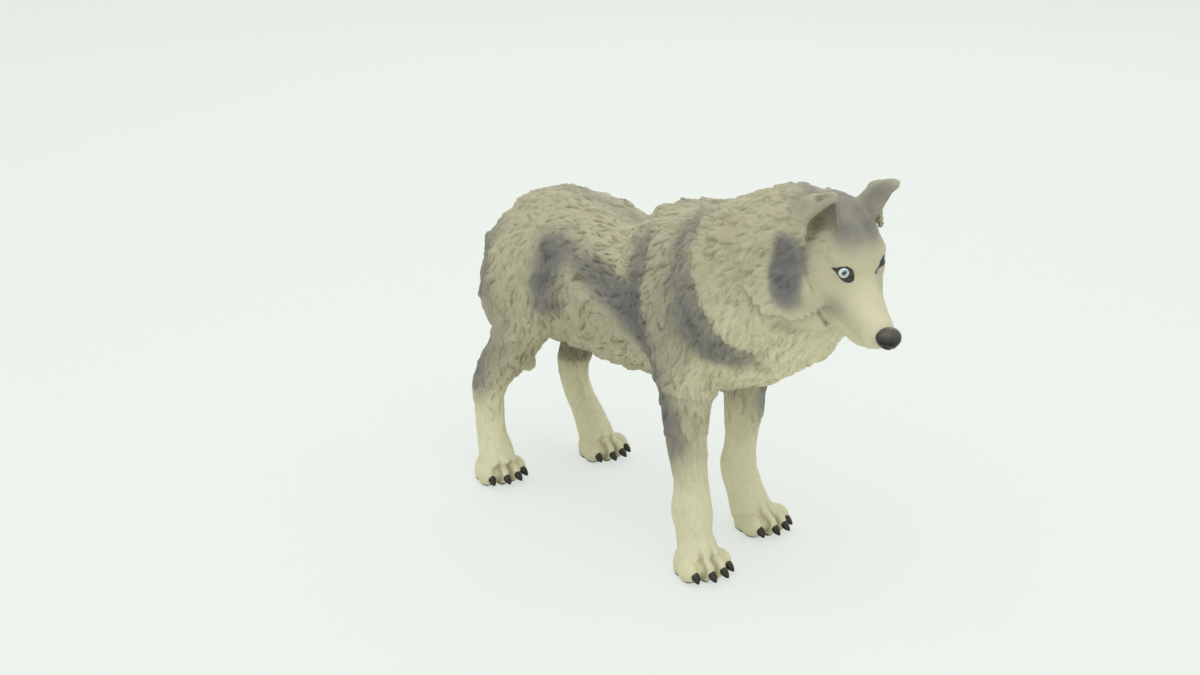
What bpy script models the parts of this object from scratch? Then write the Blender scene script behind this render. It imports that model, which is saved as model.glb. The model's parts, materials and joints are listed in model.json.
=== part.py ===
"""Standing rubber wolf figure, moulded in one piece.

Everything is given in millimetres in a (forward, left, up) frame and placed
in metres with the nose towards -Y, the left side towards +X and the soles at
z = 0. The body is built from lofts and ellipsoids, joined by a voxel remesh,
blended by smoothing, given its coarse fur by oriented locks, and reduced.
"""
import math

import bmesh
import bpy
import numpy as np
from mathutils import Matrix, Vector, kdtree

MM = 0.001
NAME = "wolf_figure"

# Main sizes of the finished figure, and the sizes at which the tables below are drawn.
FIGURE_LENGTH = 224.4
FIGURE_WIDTH = 68.0
FIGURE_HEIGHT = 153.8
DRAWN_LENGTH = 224.4
DRAWN_WIDTH = 68.0
DRAWN_HEIGHT = 153.8
STRETCH = (FIGURE_LENGTH / DRAWN_LENGTH, FIGURE_WIDTH / DRAWN_WIDTH, FIGURE_HEIGHT / DRAWN_HEIGHT)

# Remesh and reduction.
VOXEL = 0.70
BLEND_STEPS = 9
TARGET_TRIANGLES = 11900
SUBRINGS = 4
RING_POINTS = 32
SQUARENESS = 2.25

# Frame of the lowered, slightly turned head: its origin lies between the eyes.
HEAD_ORIGIN = (173.5, -2.0, 122.6)
HEAD_YAW = 10.0
HEAD_PITCH = 31.0
HEAD_ROLL = 5.0

# Fur relief.
LOCK_SEED = 7
LOCK_COUNT = 620
LOCK_LENGTH = 19.0
LOCK_WIDTH = 8.6
LOCK_HEIGHT = 1.8
LOCK_SINK = 0.5
NECK_START = 130.0
SWIRL_CENTRE = (24.0, 90.0)
SWIRL_REACH = (26.0, 22.0)
FACE_LOW = 84.0

# Rear edges of the layers of long fur, on the left side and mirrored: forward, left, up.
CAPE_EDGE = [(70, 0, 128), (79, 6, 129), (88, 19, 126), (92, 23, 120), (94, 28, 113), (94.5, 29, 104),
             (96, 29, 94), (97, 28, 87), (100, 29, 80), (103, 28, 73), (108, 24, 68)]
RUFF_EDGE = [(96, 0, 134), (100, 5, 134), (114, 22, 131), (117, 26, 125), (120, 30, 119), (123, 30, 112),
             (126, 29.5, 105), (130, 28.5, 98), (138, 25, 94), (142, 20, 90), (144, 12, 84), (146, 0, 80)]
JOWL_EDGE = [(143, 27, 115), (148, 24, 110), (154, 21, 107.5), (159, 15.5, 106),
             (162, 10, 103), (164, 4, 99)]
# For each edge: its line, rise in front, drop behind, reach and tuft length.
EDGES = [(CAPE_EDGE, 1.2, 1.2, 9.0, 9.0), (RUFF_EDGE, 1.4, 1.2, 10.0, 10.0), (JOWL_EDGE, 1.0, 0.9, 6.0, 7.0)]
# Height over which the layers flatten towards the back line, and what is left of them there.
EDGE_FADE = (116.0, 128.0, 0.25)

# Loft stations: forward, left, up, half width, radius towards the hint, radius away from it.
TORSO = [
    (-27.5, 0, 83.0, 5.0, 7.0, 7.0),
    (-25.0, 0, 84.5, 10.5, 13.0, 15.0),
    (-17.0, 0, 87.0, 15.0, 18.5, 23.0),
    (-6.0, 0, 88.5, 19.0, 26.8, 27.0),
    (10.0, 0, 90.0, 21.5, 34.0, 29.0),
    (28.0, 0, 91.5, 22.0, 34.0, 30.0),
    (46.0, 0, 92.0, 22.0, 31.0, 31.0),
    (60.0, 0, 92.5, 21.8, 28.5, 32.0),
    (72.0, 0, 94.0, 22.0, 27.0, 32.5),
    (88.0, 0, 95.0, 23.0, 31.0, 32.0),
    (104.0, 0, 97.0, 24.0, 33.0, 32.0),
    (120.0, 0, 99.0, 21.0, 30.0, 28.0),
    (134.0, 0, 101.0, 14.0, 22.0, 20.0),
]
HAUNCH = ((1.0, 14.0, 81.0), (21.0, 10.5, 24.5))
CAPE = [
    (85.0, 0, 96.0, 20.0, 26.0, 27.0),
    (86.5, 0, 97.0, 27.5, 32.8, 35.0),
    (93.0, 0, 98.5, 29.4, 33.6, 36.8),
    (102.0, 0, 101.0, 29.0, 33.0, 37.0),
    (113.0, 0, 104.0, 28.0, 32.0, 36.0),
    (124.0, 0, 107.0, 25.0, 30.0, 34.0),
    (133.0, 0, 110.0, 16.0, 22.0, 24.0),
]
RUFF = [
    (112.0, 0.0, 106.5, 21.0, 23.0, 30.0),
    (113.5, 0.0, 107.5, 28.5, 28.0, 36.5),
    (121.0, -0.3, 110.5, 30.0, 28.2, 38.2),
    (132.0, -0.6, 114.5, 28.5, 27.8, 35.6),
    (143.0, -1.0, 118.5, 25.5, 28.5, 29.5),
    (153.0, -1.5, 122.5, 21.5, 27.0, 24.5),
    (161.0, -2.0, 125.0, 15.0, 19.0, 17.0),
]
HIND_RIGHT = [
    (20.0, -12.0, 96.0, 12.0, 20.0, 22.0),
    (16.0, -16.5, 84.0, 10.5, 19.0, 20.0),
    (12.0, -20.0, 72.0, 9.5, 15.5, 15.0),
    (7.0, -22.5, 60.0, 8.0, 11.0, 10.5),
    (0.0, -24.0, 49.0, 6.8, 8.8, 9.0),
    (-4.5, -24.5, 40.0, 6.2, 7.6, 8.8),
    (-5.0, -24.0, 31.0, 5.7, 6.8, 7.2),
    (-4.8, -23.8, 22.0, 5.8, 6.8, 7.0),
    (-2.5, -23.6, 14.0, 6.6, 7.8, 7.4),
    (0.0, -23.5, 7.0, 7.6, 8.5, 7.5),
]
HIND_LEFT = [
    (18.0, 12.0, 96.0, 12.0, 20.0, 22.0),
    (12.0, 16.5, 84.0, 10.5, 19.0, 20.0),
    (5.0, 20.0, 71.0, 9.5, 15.5, 15.0),
    (-1.0, 22.5, 59.0, 8.0, 11.0, 10.0),
    (-6.5, 24.0, 48.0, 6.8, 8.6, 8.6),
    (-9.5, 24.5, 39.0, 6.2, 7.4, 8.4),
    (-8.0, 24.5, 30.5, 5.7, 6.8, 7.2),
    (-3.5, 25.0, 22.0, 5.8, 6.8, 7.0),
    (1.5, 25.5, 14.0, 6.6, 7.8, 7.4),
    (5.5, 25.7, 7.0, 7.6, 8.5, 7.5),
]
FORE_RIGHT = [
    (104.0, -14.0, 92.0, 12.0, 17.0, 17.0),
    (106.0, -17.0, 80.0, 11.5, 15.0, 16.0),
    (108.0, -19.5, 70.0, 10.0, 12.0, 13.0),
    (109.5, -21.2, 60.0, 7.8, 9.2, 9.6),
    (111.5, -21.8, 47.0, 6.5, 7.6, 8.0),
    (114.0, -22.0, 34.0, 6.0, 6.8, 7.0),
    (114.5, -21.6, 24.0, 7.0, 7.6, 8.8),
    (115.0, -21.1, 15.0, 6.3, 7.2, 6.8),
    (117.2, -20.8, 7.0, 7.8, 8.6, 7.4),
]
FORE_LEFT = [
    (102.0, 14.0, 92.0, 12.0, 17.0, 17.0),
    (100.0, 17.0, 80.0, 11.5, 15.0, 16.0),
    (98.0, 20.0, 70.0, 10.0, 12.0, 13.0),
    (96.5, 22.0, 60.0, 8.4, 9.4, 10.0),
    (95.0, 23.0, 47.0, 6.8, 7.6, 7.8),
    (93.8, 23.2, 33.0, 6.0, 6.6, 6.6),
    (93.5, 23.2, 23.0, 6.6, 6.8, 8.4),
    (96.5, 23.2, 15.0, 6.8, 7.8, 7.4),
    (100.5, 23.2, 7.0, 8.0, 8.6, 8.0),
]
# Paws: forward and left of the paw centre, yaw of the toes in degrees towards the left.
PAWS = {
    "hind_right": (-4.0, -22.5, 0.0),
    "hind_left": (4.5, 26.8, 3.0),
    "fore_right": (116.0, -20.5, -2.0),
    "fore_left": (102.2, 24.6, 5.0),
}
PAW_HALF_WIDTH = 8.6
PAW_HALF_LENGTH = 9.6
PAW_HEIGHT = 13.0
TOE_HALF = (5.2, 2.9, 4.9)
TOE_SPREAD = (-6.4, -2.3, 2.3, 6.4)
TOE_REACH = (3.0, 5.6, 5.6, 3.0)
CLAW_LENGTH = 4.2
CLAW_RADIUS = 1.45

TAIL = [
    (-11.0, 0.0, 106.0, 5.5, 5.0, 5.0),
    (-19.5, 0.0, 101.0, 6.2, 5.5, 5.5),
    (-26.0, 0.0, 92.0, 6.8, 6.0, 6.0),
    (-28.5, 0.0, 80.0, 7.2, 6.2, 6.2),
    (-26.5, 0.0, 69.0, 7.4, 6.8, 6.8),
    (-21.0, 0.0, 57.5, 7.0, 6.5, 6.5),
    (-13.0, 0.0, 48.0, 5.6, 5.4, 5.4),
    (-8.0, 0.0, 40.5, 2.4, 2.4, 2.4),
]

# Head parts, in the head frame.
SKULL = ((-18.0, 0.0, 0.2), (18.5, 13.6, 14.0))
CHEEK = ((-15.0, 9.0, -8.0), (13.0, 7.5, 12.5))
BROW = ((-9.2, 7.0, 3.6), (6.6, 4.5, 3.8))
MUZZLE = [
    (-12.0, 0, -9.0, 14.0, 10.0, 12.0),
    (-4.0, 0, -9.0, 12.2, 9.4, 11.6),
    (3.0, 0, -9.8, 8.8, 7.3, 10.2),
    (9.0, 0, -10.6, 6.4, 5.8, 8.5),
    (14.5, 0, -11.3, 5.5, 4.9, 6.9),
    (18.5, 0, -11.5, 4.8, 4.2, 5.2),
    (20.8, 0, -11.4, 2.7, 2.2, 2.8),
]
JAW = [
    (-12.0, 0, -17.0, 10.0, 6.0, 5.0),
    (-3.0, 0, -18.5, 8.4, 5.0, 4.4),
    (5.0, 0, -19.2, 6.2, 4.0, 3.6),
    (11.0, 0, -19.2, 4.6, 3.4, 3.0),
    (14.5, 0, -18.6, 2.0, 1.6, 1.6),
]
NOSE = ((19.8, 0.3, -9.8), (3.5, 4.4, 3.5))
EYE = ((-3.4, 7.0, 1.0), (3.4, 2.6, 2.5))
EAR_ROOT = (-18.5, 9.0, 5.0)
EAR_TIP = (-12.6, 12.5, 27.5)
EAR_FACE = (0.48, 0.88, 0.0)
# Ear rings: share of the height, half width, back radius, depth of the hollow, lean to the rear.
EAR_RINGS = [
    (0.00, 8.2, 5.4, 0.0, 0.4),
    (0.20, 8.3, 5.2, 4.4, 1.2),
    (0.42, 7.0, 4.7, 5.2, 1.8),
    (0.64, 5.0, 3.8, 3.8, 1.9),
    (0.84, 2.8, 2.5, 1.8, 1.4),
    (0.96, 1.3, 1.2, 0.3, 0.5),
    (1.00, 0.6, 0.6, 0.0, 0.0),
]
MOUTH = [(18.5, 0.0, -15.5), (15.5, 4.2, -17.0), (10.0, 5.6, -19.0), (5.0, 7.2, -20.3), (1.9, 8.8, -20.0),
         (0.8, 10.6, -18.1), (-0.7, 11.9, -16.4)]
# Hollow beside the bridge of the nose: centre, reach and depth.
STOP = ((3.5, 7.6, -3.0), (6.0, 3.4, 4.6), 1.3)
MOUTH_DEPTH = 0.9
MOUTH_WIDTH = 0.9


def clear_scene() -> None:
    """Remove every object of the starting scene."""
    for item in list(bpy.data.objects):
        bpy.data.objects.remove(item, do_unlink=True)


def rotation(yaw: float, pitch: float, roll: float) -> np.ndarray:
    """Return rows forward, left, up of a frame turned right, down and tilted right side down."""
    y, p, r = (math.radians(v) for v in (yaw, pitch, roll))
    forward = np.array((math.cos(y) * math.cos(p), -math.sin(y) * math.cos(p), -math.sin(p)))
    level = np.array((math.sin(y), math.cos(y), 0.0))
    above = np.cross(forward, level)
    left = level * math.cos(r) + above * math.sin(r)
    up = above * math.cos(r) - level * math.sin(r)
    return np.array((forward, left, up))


HEAD_ROWS = rotation(HEAD_YAW, HEAD_PITCH, HEAD_ROLL)


def body(points: np.ndarray) -> np.ndarray:
    """Leave body-frame points as they are."""
    return np.asarray(points, dtype=float)


def head(points: np.ndarray) -> np.ndarray:
    """Place head-frame points in the body frame."""
    return np.asarray(points, dtype=float) @ HEAD_ROWS + np.array(HEAD_ORIGIN)


def to_head(points: np.ndarray) -> np.ndarray:
    """Return body-frame points in the head frame."""
    return (np.asarray(points, dtype=float) - np.array(HEAD_ORIGIN)) @ HEAD_ROWS.T


def to_world(points: np.ndarray) -> np.ndarray:
    """Turn (forward, left, up) millimetres into metres with the nose towards -Y."""
    points = np.asarray(points, dtype=float) * STRETCH
    return np.stack((points[:, 1], -points[:, 0], points[:, 2]), axis=1) * MM


def unit(vector: np.ndarray) -> np.ndarray:
    """Return a vector at length one."""
    vector = np.asarray(vector, dtype=float)
    return vector / max(float(np.sqrt((vector * vector).sum())), 1e-12)


def smooth_rows(rows: list, steps: int) -> np.ndarray:
    """Fill a station table with rows on a Catmull-Rom curve."""
    table = np.array(rows, dtype=float)
    out = []
    for i in range(len(table) - 1):
        a = table[max(i - 1, 0)]
        b = table[i]
        c = table[i + 1]
        d = table[min(i + 2, len(table) - 1)]
        for k in range(steps):
            t = k / steps
            out.append(0.5 * (2 * b + (c - a) * t + (2 * a - 5 * b + 4 * c - d) * t ** 2
                              + (3 * b - a - 3 * c + d) * t ** 3))
    out.append(table[-1])
    return np.array(out)


def skin_rings(bm: bmesh.types.BMesh, rings: list, place) -> None:
    """Join closed rings of equal point count and close both ends."""
    loops = []
    for ring in rings:
        loops.append([bm.verts.new(p) for p in to_world(place(ring))])
    count = len(loops[0])
    for lower, upper in zip(loops[:-1], loops[1:]):
        for k in range(count):
            n = (k + 1) % count
            bm.faces.new((lower[k], lower[n], upper[n], upper[k]))
    bm.faces.new(list(reversed(loops[0])))
    bm.faces.new(loops[-1])


def loft(bm: bmesh.types.BMesh, rows: list, hint: tuple, place=body, wave: tuple = (0.0, 0)) -> None:
    """Loft a limb or trunk; the hint is the direction of the first radius."""
    table = smooth_rows(rows, SUBRINGS)
    angles = np.arange(RING_POINTS) * (2 * math.pi / RING_POINTS)
    power = 2.0 / SQUARENESS
    rings = []
    for i, row in enumerate(table):
        after = table[min(i + 1, len(table) - 1)][:3]
        before = table[max(i - 1, 0)][:3]
        along = unit(after - before)
        side = unit(np.cross(np.array(hint, dtype=float), along))
        third = np.cross(along, side)
        cosine = np.cos(angles)
        sine = np.sin(angles)
        across = np.sign(cosine) * np.abs(cosine) ** power * row[3]
        reach = np.where(sine >= 0, row[4], row[5])
        outward = np.sign(sine) * np.abs(sine) ** power * reach
        shift = wave[0] * np.cos(angles * wave[1] + 0.8)
        ring = row[:3] + across[:, None] * side + outward[:, None] * third + shift[:, None] * along
        rings.append(ring)
    skin_rings(bm, rings, place)


def ellipsoid(bm: bmesh.types.BMesh, centre: tuple, radii: tuple, place=body, turn: np.ndarray = None) -> None:
    """Add an ellipsoid; turn holds the directions of its three radii as rows."""
    made = bmesh.ops.create_icosphere(bm, subdivisions=3, radius=1.0)
    points = np.array([v.co[:] for v in made["verts"]]) * np.array(radii)
    if turn is not None:
        points = points @ turn
    for vert, spot in zip(made["verts"], to_world(place(points + np.array(centre)))):
        vert.co = spot


def ear(bm: bmesh.types.BMesh, side: float) -> None:
    """Loft one cupped ear from crescent rings."""
    root = np.array(EAR_ROOT) * (1, side, 1)
    tip = np.array(EAR_TIP) * (1, side, 1)
    face = unit(np.array(EAR_FACE) * (1, side, 1))
    table = smooth_rows(EAR_RINGS, SUBRINGS)
    along = unit(tip - root)
    across_dir = unit(np.cross(face, along))
    third = np.cross(along, across_dir)
    angles = np.arange(RING_POINTS) * (2 * math.pi / RING_POINTS)
    rings = []
    for share, half, back, hollow, lean in table:
        centre = root + (tip - root) * share - across_dir * lean * side
        sine = np.sin(angles)
        front = np.where(sine >= 0, sine * back * 0.55 - hollow * sine ** 2, sine * back)
        ring = centre + (np.cos(angles) * half)[:, None] * across_dir + front[:, None] * third
        rings.append(ring)
    skin_rings(bm, rings, head)


def paw(bm: bmesh.types.BMesh, spot: tuple) -> None:
    """Add one paw with four toes; the claws are added apart."""
    forward, left, yaw = spot
    turn = rotation(-yaw, 0.0, 0.0)
    ellipsoid(bm, (forward, left, 3.2), (PAW_HALF_LENGTH, PAW_HALF_WIDTH, PAW_HEIGHT - 3.2), turn=turn)
    for offset, reach in zip(TOE_SPREAD, TOE_REACH):
        centre = np.array((forward, left, 3.6)) + reach * turn[0] + offset * turn[1]
        fan = rotation(-yaw - offset * 1.8, 12.0, 0.0)
        ellipsoid(bm, tuple(centre), TOE_HALF, turn=fan)


def claws(bm: bmesh.types.BMesh, spot: tuple) -> None:
    """Add the four claws of one paw as short bent cones."""
    forward, left, yaw = spot
    turn = rotation(-yaw, 0.0, 0.0)
    for offset, reach in zip(TOE_SPREAD, TOE_REACH):
        fan = rotation(-yaw - offset * 1.8, 0.0, 0.0)
        root = np.array((forward, left, 4.9)) + (reach + TOE_HALF[0] - 2.4) * turn[0] + offset * 1.05 * turn[1]
        rows = []
        for share, radius, drop in ((0.0, 1.0, 0.0), (0.45, 1.0, 0.5), (0.8, 0.7, 1.7), (1.0, 0.3, 2.9)):
            point = root + fan[0] * CLAW_LENGTH * share - np.array((0, 0, drop))
            rows.append((*point, CLAW_RADIUS * radius * 0.8, CLAW_RADIUS * radius, CLAW_RADIUS * radius))
        loft(bm, rows, (0.0, 0.0, 1.0))


def build_solid() -> bpy.types.Object:
    """Join all lofts and ellipsoids in one mesh object."""
    bm = bmesh.new()
    up = (0.0, 0.0, 1.0)
    ahead = (1.0, 0.0, 0.0)
    loft(bm, TORSO, up)
    loft(bm, CAPE, (-0.42, 0.0, 0.91), wave=(1.2, 9))
    loft(bm, RUFF, (-0.42, 0.0, 0.91), wave=(1.6, 7))
    for rows in (HIND_RIGHT, HIND_LEFT, FORE_RIGHT, FORE_LEFT):
        loft(bm, rows, ahead)
    loft(bm, TAIL, ahead)
    for side in (-1.0, 1.0):
        centre, radii = HAUNCH
        ellipsoid(bm, (centre[0], centre[1] * side, centre[2]), radii)
    for spot in PAWS.values():
        paw(bm, spot)
        claws(bm, spot)
    ellipsoid(bm, *SKULL, place=head)
    loft(bm, MUZZLE, up, place=head)
    loft(bm, JAW, up, place=head)
    ellipsoid(bm, *NOSE, place=head)
    for side in (-1.0, 1.0):
        for centre, radii in (CHEEK, BROW, EYE):
            ellipsoid(bm, (centre[0], centre[1] * side, centre[2]), radii, place=head)
        ear(bm, side)
    bmesh.ops.recalc_face_normals(bm, faces=bm.faces)
    mesh = bpy.data.meshes.new(NAME)
    bm.to_mesh(mesh)
    bm.free()
    figure = bpy.data.objects.new(NAME, mesh)
    bpy.context.scene.collection.objects.link(figure)
    return figure


def settle(figure: bpy.types.Object) -> None:
    """Replace the mesh of an object by its evaluated mesh."""
    graph = bpy.context.evaluated_depsgraph_get()
    graph.update()
    done = bpy.data.meshes.new_from_object(figure.evaluated_get(graph))
    figure.modifiers.clear()
    old = figure.data
    figure.data = done
    bpy.data.meshes.remove(old)
    done.name = NAME


def remesh(figure: bpy.types.Object) -> None:
    """Join the overlapping pieces in one closed skin."""
    step = figure.modifiers.new("join", "REMESH")
    step.mode = "VOXEL"
    step.voxel_size = VOXEL * MM
    step.adaptivity = 0.0
    settle(figure)


def read_points(mesh: bpy.types.Mesh) -> np.ndarray:
    """Return the vertices in body-frame millimetres."""
    flat = np.empty(len(mesh.vertices) * 3)
    mesh.vertices.foreach_get("co", flat)
    world = flat.reshape(-1, 3) / MM
    return np.stack((-world[:, 1], world[:, 0], world[:, 2]), axis=1) / STRETCH


def write_points(mesh: bpy.types.Mesh, points: np.ndarray) -> None:
    """Write body-frame millimetres back to the vertices."""
    mesh.vertices.foreach_set("co", to_world(points).ravel())
    mesh.update()


def read_edges(mesh: bpy.types.Mesh) -> np.ndarray:
    """Return the vertex pairs of all edges."""
    flat = np.empty(len(mesh.edges) * 2, dtype=np.int64)
    mesh.edges.foreach_get("vertices", flat)
    return flat.reshape(-1, 2)


def read_normals(mesh: bpy.types.Mesh) -> np.ndarray:
    """Return the vertex normals in the body frame."""
    flat = np.empty(len(mesh.vertices) * 3)
    mesh.vertex_normals.foreach_get("vector", flat)
    world = flat.reshape(-1, 3)
    return np.stack((-world[:, 1], world[:, 0], world[:, 2]), axis=1)


def relax(points: np.ndarray, edges: np.ndarray, weight: np.ndarray, steps: int) -> np.ndarray:
    """Move every vertex towards the mean of its neighbours."""
    count = len(points)
    degree = np.bincount(edges.ravel(), minlength=count).astype(float)
    degree = np.maximum(degree, 1.0)[:, None]
    for _ in range(steps):
        total = np.empty_like(points)
        for axis in range(3):
            total[:, axis] = (np.bincount(edges[:, 0], points[edges[:, 1], axis], count)
                              + np.bincount(edges[:, 1], points[edges[:, 0], axis], count))
        points = points + (total / degree - points) * weight[:, None] * 0.5
    return points


def blend_weights(points: np.ndarray) -> np.ndarray:
    """Give full smoothing to the trunk and less to the face, ears and paws."""
    local = to_head(points)
    face = 1.0 / (1.0 + np.exp(-(local[:, 0] + 10.0) / 3.0))
    ears = 1.0 / (1.0 + np.exp(-(local[:, 2] - 10.0) / 1.5)) * (local[:, 0] > -32.0)
    paws = 1.0 / (1.0 + np.exp((points[:, 2] - 13.0) / 2.0))
    claws_low = 1.0 / (1.0 + np.exp((points[:, 2] - 6.5) / 1.0))
    return 1.0 - 0.72 * np.maximum.reduce((face * 0.95, ears * 0.9, paws * 0.8, claws_low))


def furred(points: np.ndarray) -> np.ndarray:
    """Return how much of the fur relief each vertex takes, none on face and feet."""
    local = to_head(points)
    face = 1.0 / (1.0 + np.exp(-(local[:, 0] + 17.0) / 3.0)) * (local[:, 2] > -22.0)
    ears = 1.0 / (1.0 + np.exp(-(local[:, 2] - 8.0) / 2.0)) * (points[:, 0] > NECK_START)
    legs = 1.0 / (1.0 + np.exp((points[:, 2] - 60.0) / 4.0))
    nape = np.clip((points[:, 2] - 128.0) / 14.0, 0.0, 1.0)
    return np.clip(1.0 - np.maximum.reduce((face, ears, legs * 0.88, nape * 0.6)), 0.0, 1.0)


def flow(points: np.ndarray) -> np.ndarray:
    """Return the direction the fur lies in at each point."""
    forward, left, height = points.T
    drop = np.clip((forward - 60.0) / 60.0, 0.0, 1.0)
    out = np.stack((-np.ones_like(forward) * (1.0 - 0.75 * drop), 0.15 * np.sign(left),
                    -0.35 - 0.9 * drop), axis=1)
    across = (forward - SWIRL_CENTRE[0]) / SWIRL_REACH[0]
    above = (height - SWIRL_CENTRE[1]) / SWIRL_REACH[1]
    haunch = np.exp(-(across ** 2 + above ** 2))
    swirl = np.stack((-above, np.zeros_like(forward), across), axis=1) * 2.0
    out = out * (1.0 - haunch[:, None]) + swirl * haunch[:, None]
    legs = 1.0 / (1.0 + np.exp((height - 60.0) / 4.0))
    down = np.array((0.0, 0.0, -1.0))
    return out * (1.0 - legs[:, None]) + down * legs[:, None]


def comb(points: np.ndarray, normals: np.ndarray, take: np.ndarray) -> np.ndarray:
    """Raise pointed locks of fur that lie along the flow."""
    draw = np.random.RandomState(LOCK_SEED)
    chosen = draw.permutation(len(points))[:LOCK_COUNT * 3]
    chosen = chosen[take[chosen] > 0.15][:LOCK_COUNT]
    tree = kdtree.KDTree(len(points))
    for i, p in enumerate(points):
        tree.insert(p, i)
    tree.balance()
    raised = np.zeros(len(points))
    ways = flow(points)
    for index in chosen:
        normal = normals[index]
        way = ways[index] + draw.normal(0.0, 0.28, 3)
        way = unit(way - normal * float((way * normal).sum()))
        across = np.cross(normal, way)
        size = draw.uniform(0.75, 1.3)
        height = LOCK_HEIGHT * draw.uniform(0.5, 1.25)
        near = tree.find_range(Vector(points[index]), LOCK_LENGTH * size)
        ids = np.array([n[1] for n in near])
        offset = points[ids] - points[index]
        along = (offset * way).sum(axis=1) / (LOCK_LENGTH * size * 0.5)
        beside = (offset * across).sum(axis=1) / (LOCK_WIDTH * size * 0.5)
        depth = np.abs((offset * normals[index]).sum(axis=1))
        taper = np.clip((1.0 - along) * 0.9, 0.0, 1.0) ** 0.5
        body_shape = np.clip(1.0 - (beside / np.maximum(taper, 0.08)) ** 2, 0.0, 1.0)
        rise = np.clip((along + 1.0) * 0.65, 0.0, 1.0) * np.clip((1.0 - along) * 2.2, 0.0, 1.0)
        value = height * body_shape * rise * (np.abs(along) < 1.0) * (depth < 4.0)
        raised[ids] = np.maximum(raised[ids], value)
    return (raised - LOCK_SINK * LOCK_HEIGHT) * take


def edge_heights(points: np.ndarray) -> np.ndarray:
    """Raise each layer of long fur in front of its tufted rear edge, and sink what lies behind."""
    folded = np.stack((points[:, 0], np.abs(points[:, 1]), points[:, 2]), axis=1)
    height = np.zeros(len(points))
    for line, rise, drop, reach, tuft in EDGES:
        nodes = np.array(line, dtype=float)
        best = np.full(len(points), 1e9)
        signed = np.zeros(len(points))
        place = np.zeros(len(points))
        run = 0.0
        for a, b in zip(nodes[:-1], nodes[1:]):
            span = b - a
            size = float(np.sqrt((span * span).sum()))
            share = np.clip(((folded - a) * span).sum(axis=1) / (size * size), 0.0, 1.0)
            away = folded - (a + share[:, None] * span)
            gap = np.sqrt((away * away).sum(axis=1))
            closer = gap < best
            best[closer] = gap[closer]
            signed[closer] = np.where(away[closer, 0] >= 0, gap[closer], -gap[closer])
            place[closer] = run + share[closer] * size
            run += size
        lobe = np.abs(np.sin((place + np.sign(points[:, 1]) * 2.1) * math.pi / tuft))
        ahead = signed + tuft * 0.3 * (lobe - 0.35)
        front = rise * np.exp(-np.maximum(ahead, 0.0) / reach)
        back = drop * np.exp(np.minimum(ahead, 0.0) / (reach * 0.35))
        side = 1.0 / (1.0 + np.exp(-np.clip(ahead / 0.5, -30.0, 30.0)))
        close = np.exp(-(best / (reach * 2.2)) ** 2)
        height += (front * side - back * (1.0 - side)) * close
    low, high, left_over = EDGE_FADE
    fade = np.clip((points[:, 2] - low) / (high - low), 0.0, 1.0)
    return height * (1.0 - (1.0 - left_over) * fade)


def carve_head(points: np.ndarray) -> np.ndarray:
    """Return how deep the hollows beside the bridge of the nose lie at each vertex."""
    local = to_head(points)
    centre, radii, depth = STOP
    away = ((local[:, 0] - centre[0]) / radii[0]) ** 2
    away = away + ((np.abs(local[:, 1]) - centre[1]) / radii[1]) ** 2 + ((local[:, 2] - centre[2]) / radii[2]) ** 2
    return depth * np.exp(-away)


def cut_mouth(points: np.ndarray, normals: np.ndarray) -> np.ndarray:
    """Return how deep the mouth line lies at each vertex."""
    local = to_head(points)
    line = smooth_rows(MOUTH, 8)
    line = np.concatenate((line * (1, -1, 1), line))
    depth = np.zeros(len(points))
    ids = np.nonzero((np.abs(local[:, 0] - 6.0) < 22.0) & (local[:, 2] < -8.0) & (local[:, 2] > -28.0))[0]
    for mark in line:
        away = local[ids] - mark
        near = np.sqrt((away * away).sum(axis=1))
        depth[ids] = np.maximum(depth[ids], MOUTH_DEPTH * np.exp(-(near / MOUTH_WIDTH) ** 2))
    return depth


def reduce_mesh(figure: bpy.types.Object, keep: np.ndarray) -> None:
    """Reduce the skin, leaving more triangles where keep is high."""
    group = figure.vertex_groups.new(name="keep")
    for level in range(1, 11):
        ids = np.nonzero(np.round(keep * 10).astype(int) == level)[0]
        group.add([int(i) for i in ids], level / 10.0, "REPLACE")
    triangles = sum(len(p.vertices) - 2 for p in figure.data.polygons)
    step = figure.modifiers.new("reduce", "DECIMATE")
    step.decimate_type = "COLLAPSE"
    step.ratio = TARGET_TRIANGLES / triangles
    step.use_collapse_triangulate = True
    step.vertex_group = "keep"
    step.invert_vertex_group = True
    step.vertex_group_factor = 1.0
    settle(figure)
    figure.vertex_groups.clear()


def stand(figure: bpy.types.Object) -> Vector:
    """Cut the paws flat at z = 0, centre the figure on its box and return the shift in metres."""
    bm = bmesh.new()
    bm.from_mesh(figure.data)
    everything = list(bm.verts) + list(bm.edges) + list(bm.faces)
    cut = bmesh.ops.bisect_plane(bm, geom=everything, dist=1e-6, plane_co=(0, 0, 0),
                                 plane_no=(0, 0, 1), clear_inner=True)
    rim = [e for e in cut["geom_cut"] if isinstance(e, bmesh.types.BMEdge)]
    for edge in rim:
        for vert in edge.verts:
            vert.co.z = 0.0
    bmesh.ops.remove_doubles(bm, verts=bm.verts, dist=1e-4)
    rim = [e for e in bm.edges if len(e.link_faces) == 1]
    bmesh.ops.holes_fill(bm, edges=rim, sides=0)
    bmesh.ops.triangulate(bm, faces=bm.faces)
    bmesh.ops.recalc_face_normals(bm, faces=bm.faces)
    spots = np.array([v.co[:] for v in bm.verts])
    low = spots.min(axis=0)
    high = spots.max(axis=0)
    shift = Vector((-(low[0] + high[0]) / 2, -(low[1] + high[1]) / 2, 0.0))
    bmesh.ops.transform(bm, matrix=Matrix.Translation(shift), verts=bm.verts)
    bm.to_mesh(figure.data)
    bm.free()
    figure.data.update()
    return shift


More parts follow.
